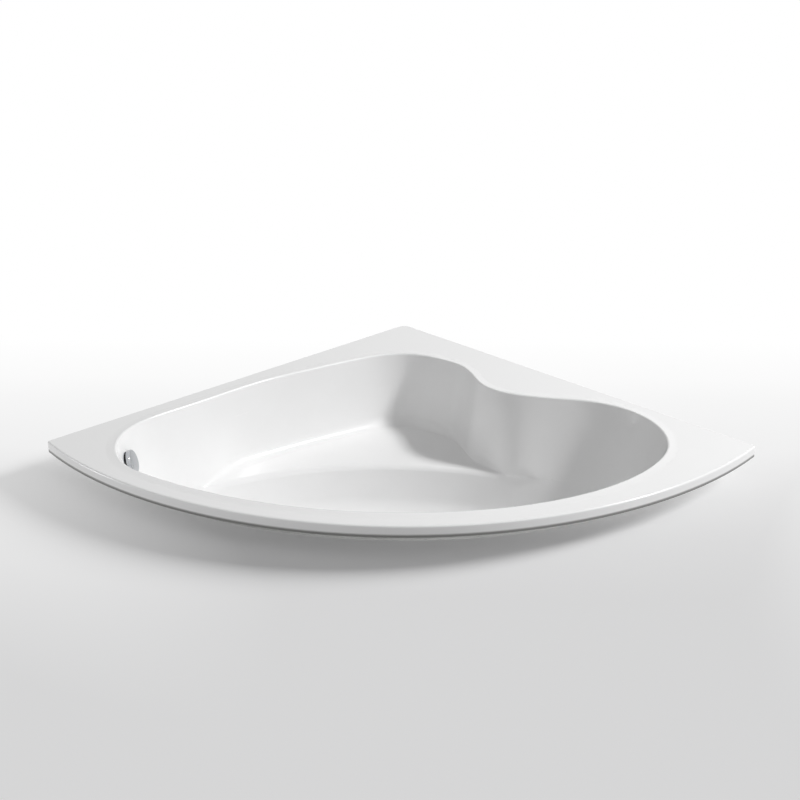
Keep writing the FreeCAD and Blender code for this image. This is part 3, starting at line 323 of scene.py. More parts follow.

# %% [markdown]
# Cast acrylic is white all through and polished by the mould it is drawn over. It reflects a little at
# every angle and more at a glance. The sheet stretches as it is formed, which leaves a faint waviness
# about a hand wide, and the polish is never even, so its roughness drifts a little. A grey band about a
# centimetre high is painted along the foot of the bowed lip: it is painted shade, and draws the dark
# line of the gap under the lip.

# %% Cast acrylic for the bath
def dress(material, *names):
    """Gives a material to CAD nodes."""
    for name in names:
        slots = frame["nodes"][name].data.materials
        slots.clear()
        slots.append(material)
    print(material.name, "on", len(names), "nodes")


LIP_FOOT = 0.568
LIP_DEPTH = 0.02
LIP_SHADE_HEIGHT = 0.010

acrylic, tree, place, surface = new_material("polished cast acrylic")
drift = add(tree, "ShaderNodeTexNoise", {"Vector": place}, {"Scale": 9, "Detail": 3})
polish = add(tree, "ShaderNodeMapRange", {"Value": drift.outputs["Fac"]}, {"To Min": 0.16, "To Max": 0.26})
wave = add(tree, "ShaderNodeTexNoise", {"Vector": place}, {"Scale": 14, "Detail": 1})
bump = add(tree, "ShaderNodeBump", {"Height": wave.outputs["Fac"]}, {"Strength": 0.02, "Distance": 0.002})
tone = add(tree, "ShaderNodeMix", {"Factor": drift.outputs["Fac"]},
           {6: linear("#F8F8F8"), 7: linear("#F5F5F5")}, data_type="RGBA")
along = add(tree, "ShaderNodeSeparateXYZ", {0: place})
plan = add(tree, "ShaderNodeCombineXYZ", {"X": along.outputs["X"], "Y": along.outputs["Y"]})
reach = add(tree, "ShaderNodeVectorMath", {0: plan.outputs[0]}, {1: (*BOW_CENTRE, 0)}, operation="DISTANCE")
on_lip = add(tree, "ShaderNodeMath", {0: reach.outputs["Value"]}, {1: BOW_RADIUS - LIP_DEPTH},
             operation="GREATER_THAN")
# painted shade: the lip's lowest centimetre is mixed to grey for the dark gap under the lip
lip_shade_fade = add(tree, "ShaderNodeMapRange", {"Value": along.outputs["Z"]},
           {"From Min": LIP_FOOT + LIP_SHADE_HEIGHT, "From Max": LIP_FOOT + LIP_SHADE_HEIGHT / 2})
painted_lip_shade = add(tree, "ShaderNodeMath", {0: on_lip.outputs[0], 1: lip_shade_fade.outputs[0]}, operation="MULTIPLY")
body = add(tree, "ShaderNodeMix", {"Factor": painted_lip_shade.outputs[0], 6: tone.outputs[2]}, {7: linear("#8A8A88")},
           data_type="RGBA")
shader = add(tree, "ShaderNodeBsdfPrincipled",
             {"Base Color": body.outputs[2], "Roughness": polish.outputs[0], "Normal": bump.outputs[0]},
             {"IOR": 1.49})
tree.links.new(shader.outputs[0], surface)
dress(acrylic, "bath_shell")

# %% [markdown]
# The back of the sheet is sprayed with resin and chopped glass strands, rolled flat by hand and left as
# it sets. Strands about 30 mm long lie in all directions under a skin of pale resin, so the surface is
# lumpy and half shiny. Two stretched noises, one turned a third of a circle, draw the strands, and a
# soft noise about 12 mm across draws the lumps.

# %% Sprayed glass-fibre resin for the backing
glass_resin, tree, place, surface = new_material("sprayed glass-fibre resin")
strands = []
for turn in (20, 140):
    turned_place = add(tree, "ShaderNodeMapping", {"Vector": place},
                       {"Rotation": (0.4, 0.3, math.radians(turn)),
                        "Scale": (1 / 0.030, 1 / 0.003, 1 / 0.003)})
    strands.append(add(tree, "ShaderNodeTexNoise", {"Vector": turned_place.outputs[0]},
                       {"Scale": 1, "Detail": 2}).outputs["Fac"])
crossed = add(tree, "ShaderNodeMath", {0: strands[0], 1: strands[1]}, operation="MAXIMUM")
lumps = add(tree, "ShaderNodeTexNoise", {"Vector": place}, {"Scale": 1 / 0.012, "Detail": 3})
height = add(tree, "ShaderNodeMath", {0: crossed.outputs[0], 1: lumps.outputs["Fac"]}, operation="ADD")
bump = add(tree, "ShaderNodeBump", {"Height": height.outputs[0]}, {"Strength": 0.45, "Distance": 0.0012})
tone = add(tree, "ShaderNodeValToRGB", {"Fac": crossed.outputs[0]})
stops = tone.color_ramp.elements
stops[0].position, stops[0].color = 0.35, linear("#CDCDCB")
stops[1].position, stops[1].color = 0.75, linear("#E1E1DF")
sheen = add(tree, "ShaderNodeMapRange", {"Value": lumps.outputs["Fac"]}, {"To Min": 0.38, "To Max": 0.62})
shader = add(tree, "ShaderNodeBsdfPrincipled",
             {"Base Color": tone.outputs[0], "Roughness": sheen.outputs[0], "Normal": bump.outputs[0]},
             {"IOR": 1.54})
tree.links.new(shader.outputs[0], surface)
dress(glass_resin, "glass_backing")

# %% [markdown]
# Boards, battens and bars have the right form as solids, but a saw or a press leaves no edge quite sharp,
# and a hand takes off what is left. Bevelling by hand would mean picking every edge, so each piece is a
# copy of its solid, merged, and a Bevel modifier that is limited by angle finds the sharp edges and rounds
# them by about a millimetre. The two boards come first.

# %% Eased copies of solids
MERGE = 1e-5
SHARP_ANGLE = math.radians(40)
BOARD_EDGE = 0.001


def work_on(piece):
    """Leaves one piece selected and active, so that operators act on it alone."""
    deselect()
    piece.select_set(True)
    bpy.context.view_layer.objects.active = piece


def edit_all(piece):
    """Opens a piece in edit mode with all of it selected."""
    work_on(piece)
    bpy.ops.object.mode_set(mode="EDIT")
    bpy.ops.mesh.select_all(action="SELECT")


def round_edges(piece, width, segments):
    """Rounds the sharp edges of the active piece."""
    rounding = piece.modifiers.new("rounding", "BEVEL")
    rounding.width = width
    rounding.segments = segments
    rounding.limit_method = "ANGLE"
    rounding.angle_limit = SHARP_ANGLE
    bpy.ops.object.modifier_apply(modifier="rounding")


def eased_copy(node, width):
    """A copy of a CAD node with merged faces and its sharp edges rounded."""
    piece = bpy.data.objects.new(node + "_eased", frame["nodes"][node].data.copy())
    bpy.context.scene.collection.objects.link(piece)
    edit_all(piece)
    bpy.ops.mesh.remove_doubles(threshold=MERGE)
    bpy.ops.mesh.dissolve_limited(angle_limit=math.radians(1))
    bpy.ops.object.mode_set(mode="OBJECT")
    round_edges(piece, width, 2)
    bpy.ops.object.shade_smooth_by_angle(angle=math.radians(35))
    return piece


boards = [eased_copy(node, BOARD_EDGE) for node in ("base_board", "seat_board")]
print("eased", [piece.name for piece in boards])

# %% [markdown]
# The base board and the seat board are chipboard: flakes of wood a few millimetres across, pressed with
# glue. Each flake keeps its own tone, which a cell pattern gives, and the flat cells are stretched along
# one way because flakes lie down in the press.

# %% Pressed chipboard for the boards
def set_in_frame(piece, material, body, node):
    """A finished piece takes its material, rides on its body and stands for its CAD node."""
    piece.data.materials.clear()
    piece.data.materials.append(material)
    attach(piece, body)
    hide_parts(node)


chipboard, tree, place, surface = new_material("pressed chipboard")
laid = add(tree, "ShaderNodeMapping", {"Vector": place},
           {"Scale": (1 / 0.007, 1 / 0.003, 1 / 0.002), "Rotation": (0, 0, 0.3)})
flakes = add(tree, "ShaderNodeTexVoronoi", {"Vector": laid.outputs[0]}, {"Scale": 1, "Randomness": 1})
flake = add(tree, "ShaderNodeSeparateColor", {0: flakes.outputs["Color"]})
tone = add(tree, "ShaderNodeValToRGB", {"Fac": flake.outputs[0]})
stops = tone.color_ramp.elements
stops[0].position, stops[0].color = 0.0, linear("#A98A5F")
stops[1].position, stops[1].color = 1.0, linear("#D8BE92")
stops.new(0.5).color = linear("#C6A777")
bump = add(tree, "ShaderNodeBump", {"Height": flakes.outputs["Distance"]},
           {"Strength": 0.35, "Distance": 0.0004})
shader = add(tree, "ShaderNodeBsdfPrincipled", {"Base Color": tone.outputs[0], "Normal": bump.outputs[0]},
             {"Roughness": 0.78})
tree.links.new(shader.outputs[0], surface)
for piece, node in zip(boards, ("base_board", "seat_board")):
    set_in_frame(piece, chipboard, "bath", node)
print(chipboard.name, "on", len(boards), "boards")

# %% [markdown]
# Two battens under the rim are planed softwood with the grain along their length, at 45 degrees to the
# axes, so a Mapping node turns the pattern to lie along each. Growth rings show as bands about 4 mm
# apart that wander a little, darker where the wood grew late, and fine pores stretch along the grain. A
# wave texture of scale 1 repeats every 0.314 units, so its scale is that over the real distance.

# %% Planed softwood for the battens
WAVE_PERIOD = 0.314
BATTEN_EDGE = 0.0015

for node, turn in (("rim_batten_left", 45), ("rim_batten_right", -45)):
    softwood, tree, place, surface = new_material("planed softwood " + node.split("_")[-1])
    along_grain = add(tree, "ShaderNodeMapping", {"Vector": place}, {"Rotation": (0, 0, math.radians(-turn))})
    rings = add(tree, "ShaderNodeTexWave", {"Vector": along_grain.outputs[0]},
                {"Scale": WAVE_PERIOD / 0.004, "Distortion": 3, "Detail": 2, "Detail Scale": 0.35},
                bands_direction="Y", wave_profile="SAW")
    stretched = add(tree, "ShaderNodeMapping", {"Vector": along_grain.outputs[0]},
                    {"Scale": (1 / 0.060, 1 / 0.0012, 1 / 0.0012)})
    pores = add(tree, "ShaderNodeTexNoise", {"Vector": stretched.outputs[0]}, {"Scale": 1, "Detail": 3})
    grain = add(tree, "ShaderNodeMath", {0: rings.outputs["Fac"], 1: pores.outputs["Fac"]},
                operation="MULTIPLY")
    tone = add(tree, "ShaderNodeValToRGB", {"Fac": grain.outputs[0]})
    stops = tone.color_ramp.elements
    stops[0].position, stops[0].color = 0.05, linear("#DFC495")
    stops[1].position, stops[1].color = 0.60, linear("#B98E58")
    bump = add(tree, "ShaderNodeBump", {"Height": pores.outputs["Fac"]},
               {"Strength": 0.2, "Distance": 0.0003})
    shader = add(tree, "ShaderNodeBsdfPrincipled", {"Base Color": tone.outputs[0], "Normal": bump.outputs[0]},
                 {"Roughness": 0.62})
    tree.links.new(shader.outputs[0], surface)
    set_in_frame(eased_copy(node, BATTEN_EDGE), softwood, "bath", node)
    print(node, "eased, grain turned", turn)

# %% [markdown]
# The bars, the post, the nuts, the screws and the studs are steel with a thin coat of zinc. Zinc sets in
# flat crystals, here about 5 mm across, each a shade brighter or duller than the next, and handling
# leaves soft cloudy patches. Cold-bent steel has a small radius at every edge, so the bars and the post
# are eased copies. The screws are small enough to keep their solids.

# %% Zinc-plated steel for the frame
STEEL_EDGE = 0.0006

zinc, tree, place, surface = new_material("zinc-plated steel")
crystals = add(tree, "ShaderNodeTexVoronoi", {"Vector": place}, {"Scale": 1 / 0.005})
crystal = add(tree, "ShaderNodeSeparateColor", {0: crystals.outputs["Color"]})
clouds = add(tree, "ShaderNodeTexNoise", {"Vector": place}, {"Scale": 1 / 0.040, "Detail": 3})
tone = add(tree, "ShaderNodeMix", {"Factor": crystal.outputs[0]},
           {6: linear("#B4B8BC"), 7: linear("#CACDD0")}, data_type="RGBA")
dull = add(tree, "ShaderNodeMapRange", {"Value": clouds.outputs["Fac"]}, {"To Min": 0.26, "To Max": 0.48})
shader = add(tree, "ShaderNodeBsdfPrincipled",
             {"Base Color": tone.outputs[2], "Roughness": dull.outputs[0]}, {"Metallic": 1})
tree.links.new(shader.outputs[0], surface)
for node in ("leg_bar_left", "leg_bar_right", "seat_post"):
    set_in_frame(eased_copy(node, STEEL_EDGE), zinc, "bath", node)
dress(zinc, "wood_screws")

# %% [markdown]
# Threads and turned pieces start from a profile. It is drawn by extruding a single vertex from point to
# point, as a pen would go. Faces can't be clicked in a script, so they are picked by where their centre
# is and which way they look.

# %% Drawing profiles and picking faces
def drawn_line(name, points):
    """A new piece that starts as one vertex and is extruded from point to point."""
    deselect()
    bpy.ops.mesh.primitive_plane_add(size=0.01)
    piece = bpy.context.object
    piece.name = name
    bpy.ops.object.mode_set(mode="EDIT")
    bpy.ops.mesh.select_mode(type="VERT")
    bpy.ops.mesh.select_all(action="SELECT")
    bpy.ops.mesh.merge(type="CENTER")
    bpy.ops.transform.translate(value=points[0])
    for here, there in zip(points, points[1:]):
        bpy.ops.mesh.extrude_region_move(TRANSFORM_OT_translate={"value": Vector(there) - Vector(here)})
    bpy.ops.object.mode_set(mode="OBJECT")
    return piece


def pick_faces(piece, wanted):
    """Selects the faces whose centre and normal a test accepts, and leaves the rest."""
    work_on(piece)
    bpy.ops.object.mode_set(mode="EDIT")
    bpy.ops.mesh.select_mode(type="FACE")
    bpy.ops.mesh.select_all(action="DESELECT")
    bpy.ops.object.mode_set(mode="OBJECT")
    for face in piece.data.polygons:
        face.select = wanted(face.center, face.normal)
    bpy.ops.object.mode_set(mode="EDIT")


low_corner, high_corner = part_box("leg_stud_1")
print("a stud is", round(high_corner.z - low_corner.z, 4), "long")

# %% [markdown]
# Each leg is a threaded stud, 12 mm across with a 1.75 mm pitch. A thread is one notch profile swept round
# while it climbs: the Screw modifier sweeps it a little past both ends, and two bisects cut the ends square
# and close them. Each end face is then drawn out and narrowed, which is the lead-in that lets a nut start.

# %% One threaded stud
THREAD_PITCH = 0.00175
THREAD_DEPTH = 0.00095
THREAD_STEPS = 16
SPARE_TURNS = 2
ROOT_END, CREST_START, CREST_END = 0.25, 0.56, 0.69
LEAD_IN = 0.0012
LEAD_NARROWING = 0.8

crest = (high_corner.x - low_corner.x) / 2
root = crest - THREAD_DEPTH
bottom, top = low_corner.z + LEAD_IN, high_corner.z - LEAD_IN
start = bottom - THREAD_PITCH * SPARE_TURNS
stud = drawn_line("stud_on_axis", [
    (root, 0, start),
    (root, 0, start + THREAD_PITCH * ROOT_END),
    (crest, 0, start + THREAD_PITCH * CREST_START),
    (crest, 0, start + THREAD_PITCH * CREST_END),
    (root, 0, start + THREAD_PITCH),
])
sweep = stud.modifiers.new("sweep", "SCREW")
sweep.axis = "Z"
sweep.screw_offset = THREAD_PITCH
sweep.iterations = math.ceil((top - bottom) / THREAD_PITCH) + SPARE_TURNS * 2
sweep.steps = sweep.render_steps = THREAD_STEPS
bpy.ops.object.modifier_apply(modifier="sweep")
edit_all(stud)
bpy.ops.mesh.remove_doubles(threshold=MERGE)
for level, keep_above in ((bottom, True), (top, False)):
    bpy.ops.mesh.select_all(action="SELECT")
    bpy.ops.mesh.bisect(plane_co=(0, 0, level), plane_no=(0, 0, 1), use_fill=True,
                        clear_inner=keep_above, clear_outer=not keep_above)
bpy.ops.mesh.select_all(action="SELECT")
bpy.ops.mesh.normals_make_consistent(inside=False)
bpy.ops.object.mode_set(mode="OBJECT")
for level, way in ((bottom, -1), (top, 1)):
    pick_faces(stud, lambda centre, normal: abs(centre.z - level) < MERGE and abs(normal.z) > 0.9)
    bpy.ops.mesh.extrude_region_move(TRANSFORM_OT_translate={"value": (0, 0, LEAD_IN * way)})
    bpy.ops.transform.resize(value=(LEAD_NARROWING, LEAD_NARROWING, 1), center_override=(0, 0, level))
    bpy.ops.object.mode_set(mode="OBJECT")
bpy.ops.object.shade_smooth_by_angle(angle=math.radians(20))
print("stud faces", len(stud.data.polygons))

# %% [markdown]
# The five studs are alike, so the one on the Z axis is copied, each copy with its own mesh. The mesh is
# moved to its place and the object stays at the origin, as the CAD's do, so that no pattern slides on it.

# %% Five studs
def copies_at(piece, stem, places):
    """Own-mesh copies of a piece modelled on the Z axis, each moved in its mesh to its place."""
    made = []
    for number, at in enumerate(places, 1):
        copy = bpy.data.objects.new(f"{stem}_{number}", piece.data.copy())
        bpy.context.scene.collection.objects.link(copy)
        copy.location = at
        work_on(copy)
        bpy.ops.object.transform_apply(location=True)
        made.append(copy)
    bpy.data.objects.remove(piece)
    return made


stud_places = []
for number in range(1, 6):
    low_corner, high_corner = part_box(f"leg_stud_{number}")
    middle = (low_corner + high_corner) / 2
    stud_places.append((middle.x, middle.y, 0))
for number, copy in enumerate(copies_at(stud, "leg_stud_thread", stud_places), 1):
    set_in_frame(copy, zinc, f"leg_{number}", f"leg_stud_{number}")
print("studs at", [(round(x, 3), round(y, 3)) for x, y, _ in stud_places])

# %% [markdown]
# Round pieces are made as on a lathe: an outline of radii and heights is drawn and spun about an axis.
# Spin leaves its last edge on top of its first, so the two are merged, and the normals are recalculated
# after that. A Boolean cuts one piece with another or joins them.

# %% Turning and joining
def spun(name, outline, centre, axis, steps):
    """Turns an outline of (radius, height) pairs about an axis, as on a lathe."""
    aside = axis.orthogonal().normalized()
    piece = drawn_line(name, [centre + aside * radius + axis * height for radius, height in outline])
    edit_all(piece)
    bpy.ops.mesh.spin(steps=steps, angle=math.tau, center=centre, axis=axis)
    bpy.ops.mesh.select_all(action="SELECT")
    bpy.ops.mesh.remove_doubles(threshold=MERGE)
    bpy.ops.mesh.normals_make_consistent(inside=False)
    bpy.ops.object.mode_set(mode="OBJECT")
    return piece


def cut_or_join(piece, other, operation):
    """A Boolean with another piece, which is then deleted."""
    work_on(piece)
    change = piece.modifiers.new("change", "BOOLEAN")
    change.object = other
    change.operation = operation
    change.solver = "EXACT"
    bpy.ops.object.modifier_apply(modifier="change")
    bpy.data.objects.remove(other)


low_corner, high_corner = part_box("foot_pad_1")
pad_radius = (high_corner.x - low_corner.x) / 2
pad_height = high_corner.z
stud_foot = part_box("leg_stud_1")[0].z
print("pads", round(pad_radius, 4), "in radius and", round(pad_height, 4), "high")

# %% [markdown]
# A stud stands in a moulded pad: a round foot with a rounded edge, a narrow hub and thin webs between
# them, because a moulder saves plastic and time wherever a web is as stiff as a solid cone. The foot is
# an outline spun about the stud's axis. One web is a five-sided plate, repeated by a second spin that
# only makes copies, and a Boolean joins the two.

# %% Moulded pads
ORIGIN = Vector((0, 0, 0))
UP = Vector((0, 0, 1))
PAD_STEPS = 64
STUD_PLAY = 0.0003
WEB_COUNT = 8
WEB_HALF = 0.0012
WEB_INNER, WEB_OUTER = 0.0105, 0.0265
WEB_FOOT, WEB_TOP = 0.006, 0.0200

pad = spun("pad_on_axis", [
    (0, 0), (pad_radius - 0.0015, 0), (pad_radius, 0.0015), (pad_radius, 0.0052),
    (pad_radius - 0.0008, 0.0065), (pad_radius - 0.0025, 0.007), (0.016, 0.0085), (0.0128, 0.0115),
    (0.012, 0.0225), (0.0112, pad_height), (0.0073, pad_height), (crest + STUD_PLAY, pad_height - 0.001),
    (crest + STUD_PLAY, stud_foot), (0, stud_foot),
], ORIGIN, UP, PAD_STEPS)
web = drawn_line("pad_web", [
    (WEB_INNER, -WEB_HALF, WEB_FOOT), (WEB_OUTER, -WEB_HALF, WEB_FOOT), (WEB_OUTER, -WEB_HALF, 0.0085),
    (0.0145, -WEB_HALF, WEB_TOP), (WEB_INNER, -WEB_HALF, WEB_TOP),
])
edit_all(web)
bpy.ops.mesh.edge_face_add()
bpy.ops.mesh.extrude_region_move(TRANSFORM_OT_translate={"value": (0, WEB_HALF * 2, 0)})
bpy.ops.mesh.select_all(action="SELECT")
bpy.ops.mesh.normals_make_consistent(inside=False)
bpy.ops.mesh.spin(steps=WEB_COUNT - 1, dupli=True, angle=math.tau * (1 - 1 / WEB_COUNT),
                  center=ORIGIN, axis=UP)
bpy.ops.object.mode_set(mode="OBJECT")
cut_or_join(pad, web, "UNION")
bpy.ops.object.shade_smooth_by_angle(angle=math.radians(35))
print("pad faces", len(pad.data.polygons), "webs", WEB_COUNT)

# %% [markdown]
# Under each bar end, and under the seat's post, a fixed nut and a lock nut are jammed together on the stud.
# A nut's blank is turned at both ends before it is threaded, which takes the six corners off in a shallow
# cone. So a six-sided prism is cut to a turned blank of that form, and a turned drill leaves the bore with
# a short lead-in. Points that the cuts leave closer than a few thousandths of a millimetre are merged.

# %% Hexagon nuts
NUT_FLATS = 0.019
NUT_CORNER = NUT_FLATS / math.sqrt(3)
NUT_HEIGHT = 0.010
NUT_CONE = 0.0011
NUT_FACE = 0.0092
NUT_BORE = 0.0063
NUT_LEAD = 0.0008
NUT_GAP = 0.00002
NUT_MERGE = 0.000005
BLANK_STEPS = 96
DRILL_STEPS = 48
OVERRUN = 0.001


def hexagon_nut(foot, top):
    """A nut on the Z axis between two heights."""
    deselect()
    bpy.ops.mesh.primitive_cylinder_add(
        vertices=6, radius=NUT_CORNER, depth=NUT_HEIGHT + OVERRUN * 2,
        location=(0, 0, (foot + top) / 2), rotation=(0, 0, math.radians(30)),
    )
    nut = bpy.context.object
    bpy.ops.object.transform_apply(location=True, rotation=True)
    wide = NUT_CORNER + OVERRUN
    blank = spun("nut_blank", [
        (0, foot), (NUT_FACE, foot), (wide, foot + NUT_CONE),
        (wide, top - NUT_CONE), (NUT_FACE, top), (0, top),
    ], ORIGIN, UP, BLANK_STEPS)
    cut_or_join(nut, blank, "INTERSECT")
    mouth = NUT_BORE + NUT_LEAD + OVERRUN
    drill = spun("nut_drill", [
        (0, foot - OVERRUN), (mouth, foot - OVERRUN), (NUT_BORE, foot + NUT_LEAD),
        (NUT_BORE, top - NUT_LEAD), (mouth, top + OVERRUN), (0, top + OVERRUN),
    ], ORIGIN, UP, DRILL_STEPS)
    cut_or_join(nut, drill, "DIFFERENCE")
    edit_all(nut)
    bpy.ops.mesh.remove_doubles(threshold=NUT_MERGE)
    bpy.ops.mesh.dissolve_degenerate(threshold=NUT_MERGE)
    bpy.ops.object.mode_set(mode="OBJECT")
    return nut


fixed_nut = hexagon_nut(-NUT_HEIGHT, 0)
lock_nut = hexagon_nut(-NUT_HEIGHT * 2, -NUT_HEIGHT - NUT_GAP)
print("nut faces", len(fixed_nut.data.polygons), len(lock_nut.data.polygons))

# %% [markdown]
# The pair, a hair apart, is joined and copied to each stud, at the height of its CAD nuts. All the nuts of
# the bath are one node, so the copies are joined as well.

# %% Nut pairs on the studs
def joined(pieces, name):
    """Several pieces as one object."""
    deselect()
    for piece in pieces:
        piece.select_set(True)
    bpy.context.view_layer.objects.active = pieces[0]
    bpy.ops.object.join()
    pieces[0].name = name
    return pieces[0]


pair = joined([fixed_nut, lock_nut], "nut_pair")
cad_corners = [vertex.co for vertex in frame["nodes"]["leg_nuts"].data.vertices]
nut_places = []
for x, y, _ in stud_places:
    heights = [c.z for c in cad_corners if math.hypot(c.x - x, c.y - y) < NUT_FLATS]
    nut_places.append((x, y, max(heights)))
nuts = joined(copies_at(pair, "nut_pair", nut_places), "leg_nuts_turned")
bpy.ops.object.shade_smooth_by_angle(angle=math.radians(25))
set_in_frame(nuts, zinc, "bath", "leg_nuts")
low_corner, high_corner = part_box("leg_nuts")
corners = [vertex.co for vertex in nuts.data.vertices]
spans = Vector([max(c[k] for c in corners) - min(c[k] for c in corners) for k in range(3)])
print("nut pairs", len(nut_places), "grew by", [round(v, 5) for v in spans - (high_corner - low_corner)])

# %% [markdown]
# Pads and the thin conduit are nylon, black right through. A mould's spark-worn steel gives it a fine,
# even texture a third of a millimetre across, which spreads a highlight without hiding it. In the render
# a third of a millimetre can't show, so the texture is drawn three times as coarse.

# %% Black nylon for the pads and the conduit
nylon, tree, place, surface = new_material("moulded black nylon")
texture = add(tree, "ShaderNodeTexNoise", {"Vector": place}, {"Scale": 1 / 0.001, "Detail": 2})
scuff = add(tree, "ShaderNodeTexNoise", {"Vector": place}, {"Scale": 1 / 0.018, "Detail": 4})
bump = add(tree, "ShaderNodeBump", {"Height": texture.outputs["Fac"]},
           {"Strength": 0.25, "Distance": 0.0002})
tone = add(tree, "ShaderNodeMix", {"Factor": scuff.outputs["Fac"]},
           {6: linear("#19191A"), 7: linear("#2A2A2B")}, data_type="RGBA")
dull = add(tree, "ShaderNodeMapRange", {"Value": scuff.outputs["Fac"]}, {"To Min": 0.40, "To Max": 0.58})
shader = add(tree, "ShaderNodeBsdfPrincipled",
             {"Base Color": tone.outputs[2], "Roughness": dull.outputs[0], "Normal": bump.outputs[0]},
             {"IOR": 1.53})
tree.links.new(shader.outputs[0], surface)
for number, copy in enumerate(copies_at(pad, "foot_pad_moulded", stud_places), 1):
    set_in_frame(copy, nylon, f"leg_{number}", f"foot_pad_{number}")
dress(nylon, "wire_conduit")

# %% [markdown]
# The overflow knob is a thin chromed cap that turns on a spindle, with a rounded front edge and two
# shallow hollows for finger and thumb. Its place and axis are those of its joint. The cap is spun about
# that axis, two cylinders cut the hollows, and a small bevel breaks the edges they leave, because plating
# chips on a sharp edge. From the camera it shows mostly its rim, dark below and bright on top.

# %% Overflow knob
KNOB_RADIUS = 0.035
KNOB_BACK = 0.009
KNOB_THICKNESS = 0.011
KNOB_WALL = 0.003
KNOB_ROUND = 0.004
HUB_RADIUS = 0.007
SPINDLE_BORE = 0.00405
KNOB_EDGE = 0.0004
KNOB_STEPS = 96
GRIP_RADIUS = 0.009
GRIP_DEPTH = 0.003
GRIP_LENGTH = 0.04
GRIP_SIDES = 64

knob_joint = next(j for j in frame["record"]["behaviour"]["joints"] if j["name"] == "knob_turn")
knob_axis = Vector(knob_joint["axis"])
knob_back = Vector(knob_joint["pos_m"]) + knob_axis * KNOB_BACK
under = KNOB_THICKNESS - KNOB_WALL
rounded_front = [
    (KNOB_RADIUS - KNOB_ROUND + KNOB_ROUND * math.cos(angle),
     KNOB_THICKNESS - KNOB_ROUND + KNOB_ROUND * math.sin(angle))
    for angle in (math.radians(15 * step) for step in range(7))
]
knob = spun("overflow_knob_cap", [
    (SPINDLE_BORE, 0), (HUB_RADIUS, 0), (HUB_RADIUS, under), (KNOB_RADIUS - KNOB_WALL, under),
    (KNOB_RADIUS - KNOB_WALL, 0), (KNOB_RADIUS, 0), *rounded_front, (0, KNOB_THICKNESS), (0, under),
    (SPINDLE_BORE, under), (SPINDLE_BORE, 0),
], knob_back, knob_axis, KNOB_STEPS)
grip_place = KNOB_RADIUS + GRIP_RADIUS - GRIP_DEPTH
for side in (-1, 1):
    deselect()
    bpy.ops.mesh.primitive_cylinder_add(
        vertices=GRIP_SIDES, radius=GRIP_RADIUS, depth=GRIP_LENGTH,
        location=knob_back + Vector((0, grip_place * side, 0)),
        rotation=knob_axis.to_track_quat("Z", "Y").to_euler(),
    )
    cut_or_join(knob, bpy.context.object, "DIFFERENCE")
round_edges(knob, KNOB_EDGE, 2)
bpy.ops.object.shade_smooth_by_angle(angle=math.radians(30))
print("knob faces", len(knob.data.polygons))

# %% [markdown]
# Chrome is a bright plate over polished brass: a mirror with a cool tint. Water leaves it a little
# filmed, so its roughness wanders between almost none and slight, over patches about 10 mm across.

# %% Polished chrome for the fittings
chrome, tree, place, surface = new_material("polished chrome plate")
film = add(tree, "ShaderNodeTexNoise", {"Vector": place}, {"Scale": 1 / 0.010, "Detail": 4})
mirror = add(tree, "ShaderNodeMapRange", {"Value": film.outputs["Fac"]}, {"To Min": 0.04, "To Max": 0.14})
tone = add(tree, "ShaderNodeMix", {"Factor": film.outputs["Fac"]},
           {6: linear("#C3C5C8"), 7: linear("#B2B5B9")}, data_type="RGBA")
shader = add(tree, "ShaderNodeBsdfPrincipled",
             {"Base Color": tone.outputs[2], "Roughness": mirror.outputs[0]}, {"Metallic": 1})
tree.links.new(shader.outputs[0], surface)
set_in_frame(knob, chrome, "knob", "overflow_knob")
dress(chrome, "overflow_insert", "waste_flange", "lift_plug")

# %% [markdown]
# The spindle and the plug's lever are turned brass. A cutting tool leaves rings about a quarter of a
# millimetre apart, drawn here at half a millimetre so that they show, and brass dulls to brown in patches.

# %% Turned brass for the spindle and the lever
brass, tree, place, surface = new_material("turned brass")
rings = add(tree, "ShaderNodeTexWave", {"Vector": place},
            {"Scale": WAVE_PERIOD / 0.0005, "Distortion": 0.3}, bands_direction="X")
patches = add(tree, "ShaderNodeTexNoise", {"Vector": place}, {"Scale": 1 / 0.008, "Detail": 3})
bump = add(tree, "ShaderNodeBump", {"Height": rings.outputs["Fac"]},
           {"Strength": 0.15, "Distance": 0.00005})
tone = add(tree, "ShaderNodeMix", {"Factor": patches.outputs["Fac"]},
           {6: linear("#D9B66C"), 7: linear("#A8803F")}, data_type="RGBA")
dull = add(tree, "ShaderNodeMapRange", {"Value": patches.outputs["Fac"]}, {"To Min": 0.22, "To Max": 0.42})
shader = add(tree, "ShaderNodeBsdfPrincipled",
             {"Base Color": tone.outputs[2], "Roughness": dull.outputs[0], "Normal": bump.outputs[0]},
             {"Metallic": 1})
tree.links.new(shader.outputs[0], surface)
dress(brass, "knob_spindle", "plug_lever")

# %% [markdown]
# Gaskets and seals are nitrile rubber: near black and matt, with a grey dust of talc from the mould that
# lies thicker in some places than in others.

# %% Nitrile rubber for the gaskets and seals
rubber, tree, place, surface = new_material("moulded nitrile rubber")
talc = add(tree, "ShaderNodeTexNoise", {"Vector": place},
           {"Scale": 1 / 0.006, "Detail": 5, "Roughness": 0.7})
tone = add(tree, "ShaderNodeValToRGB", {"Fac": talc.outputs["Fac"]})
stops = tone.color_ramp.elements
stops[0].position, stops[0].color = 0.45, linear("#171717")
stops[1].position, stops[1].color = 0.80, linear("#3A3A39")
bump = add(tree, "ShaderNodeBump", {"Height": talc.outputs["Fac"]}, {"Strength": 0.2, "Distance": 0.0002})
shader = add(tree, "ShaderNodeBsdfPrincipled", {"Base Color": tone.outputs[0], "Normal": bump.outputs[0]},
             {"Roughness": 0.85})
tree.links.new(shader.outputs[0], surface)
dress(rubber, "overflow_gasket", "flange_seal", "waste_gasket", "plug_seal")

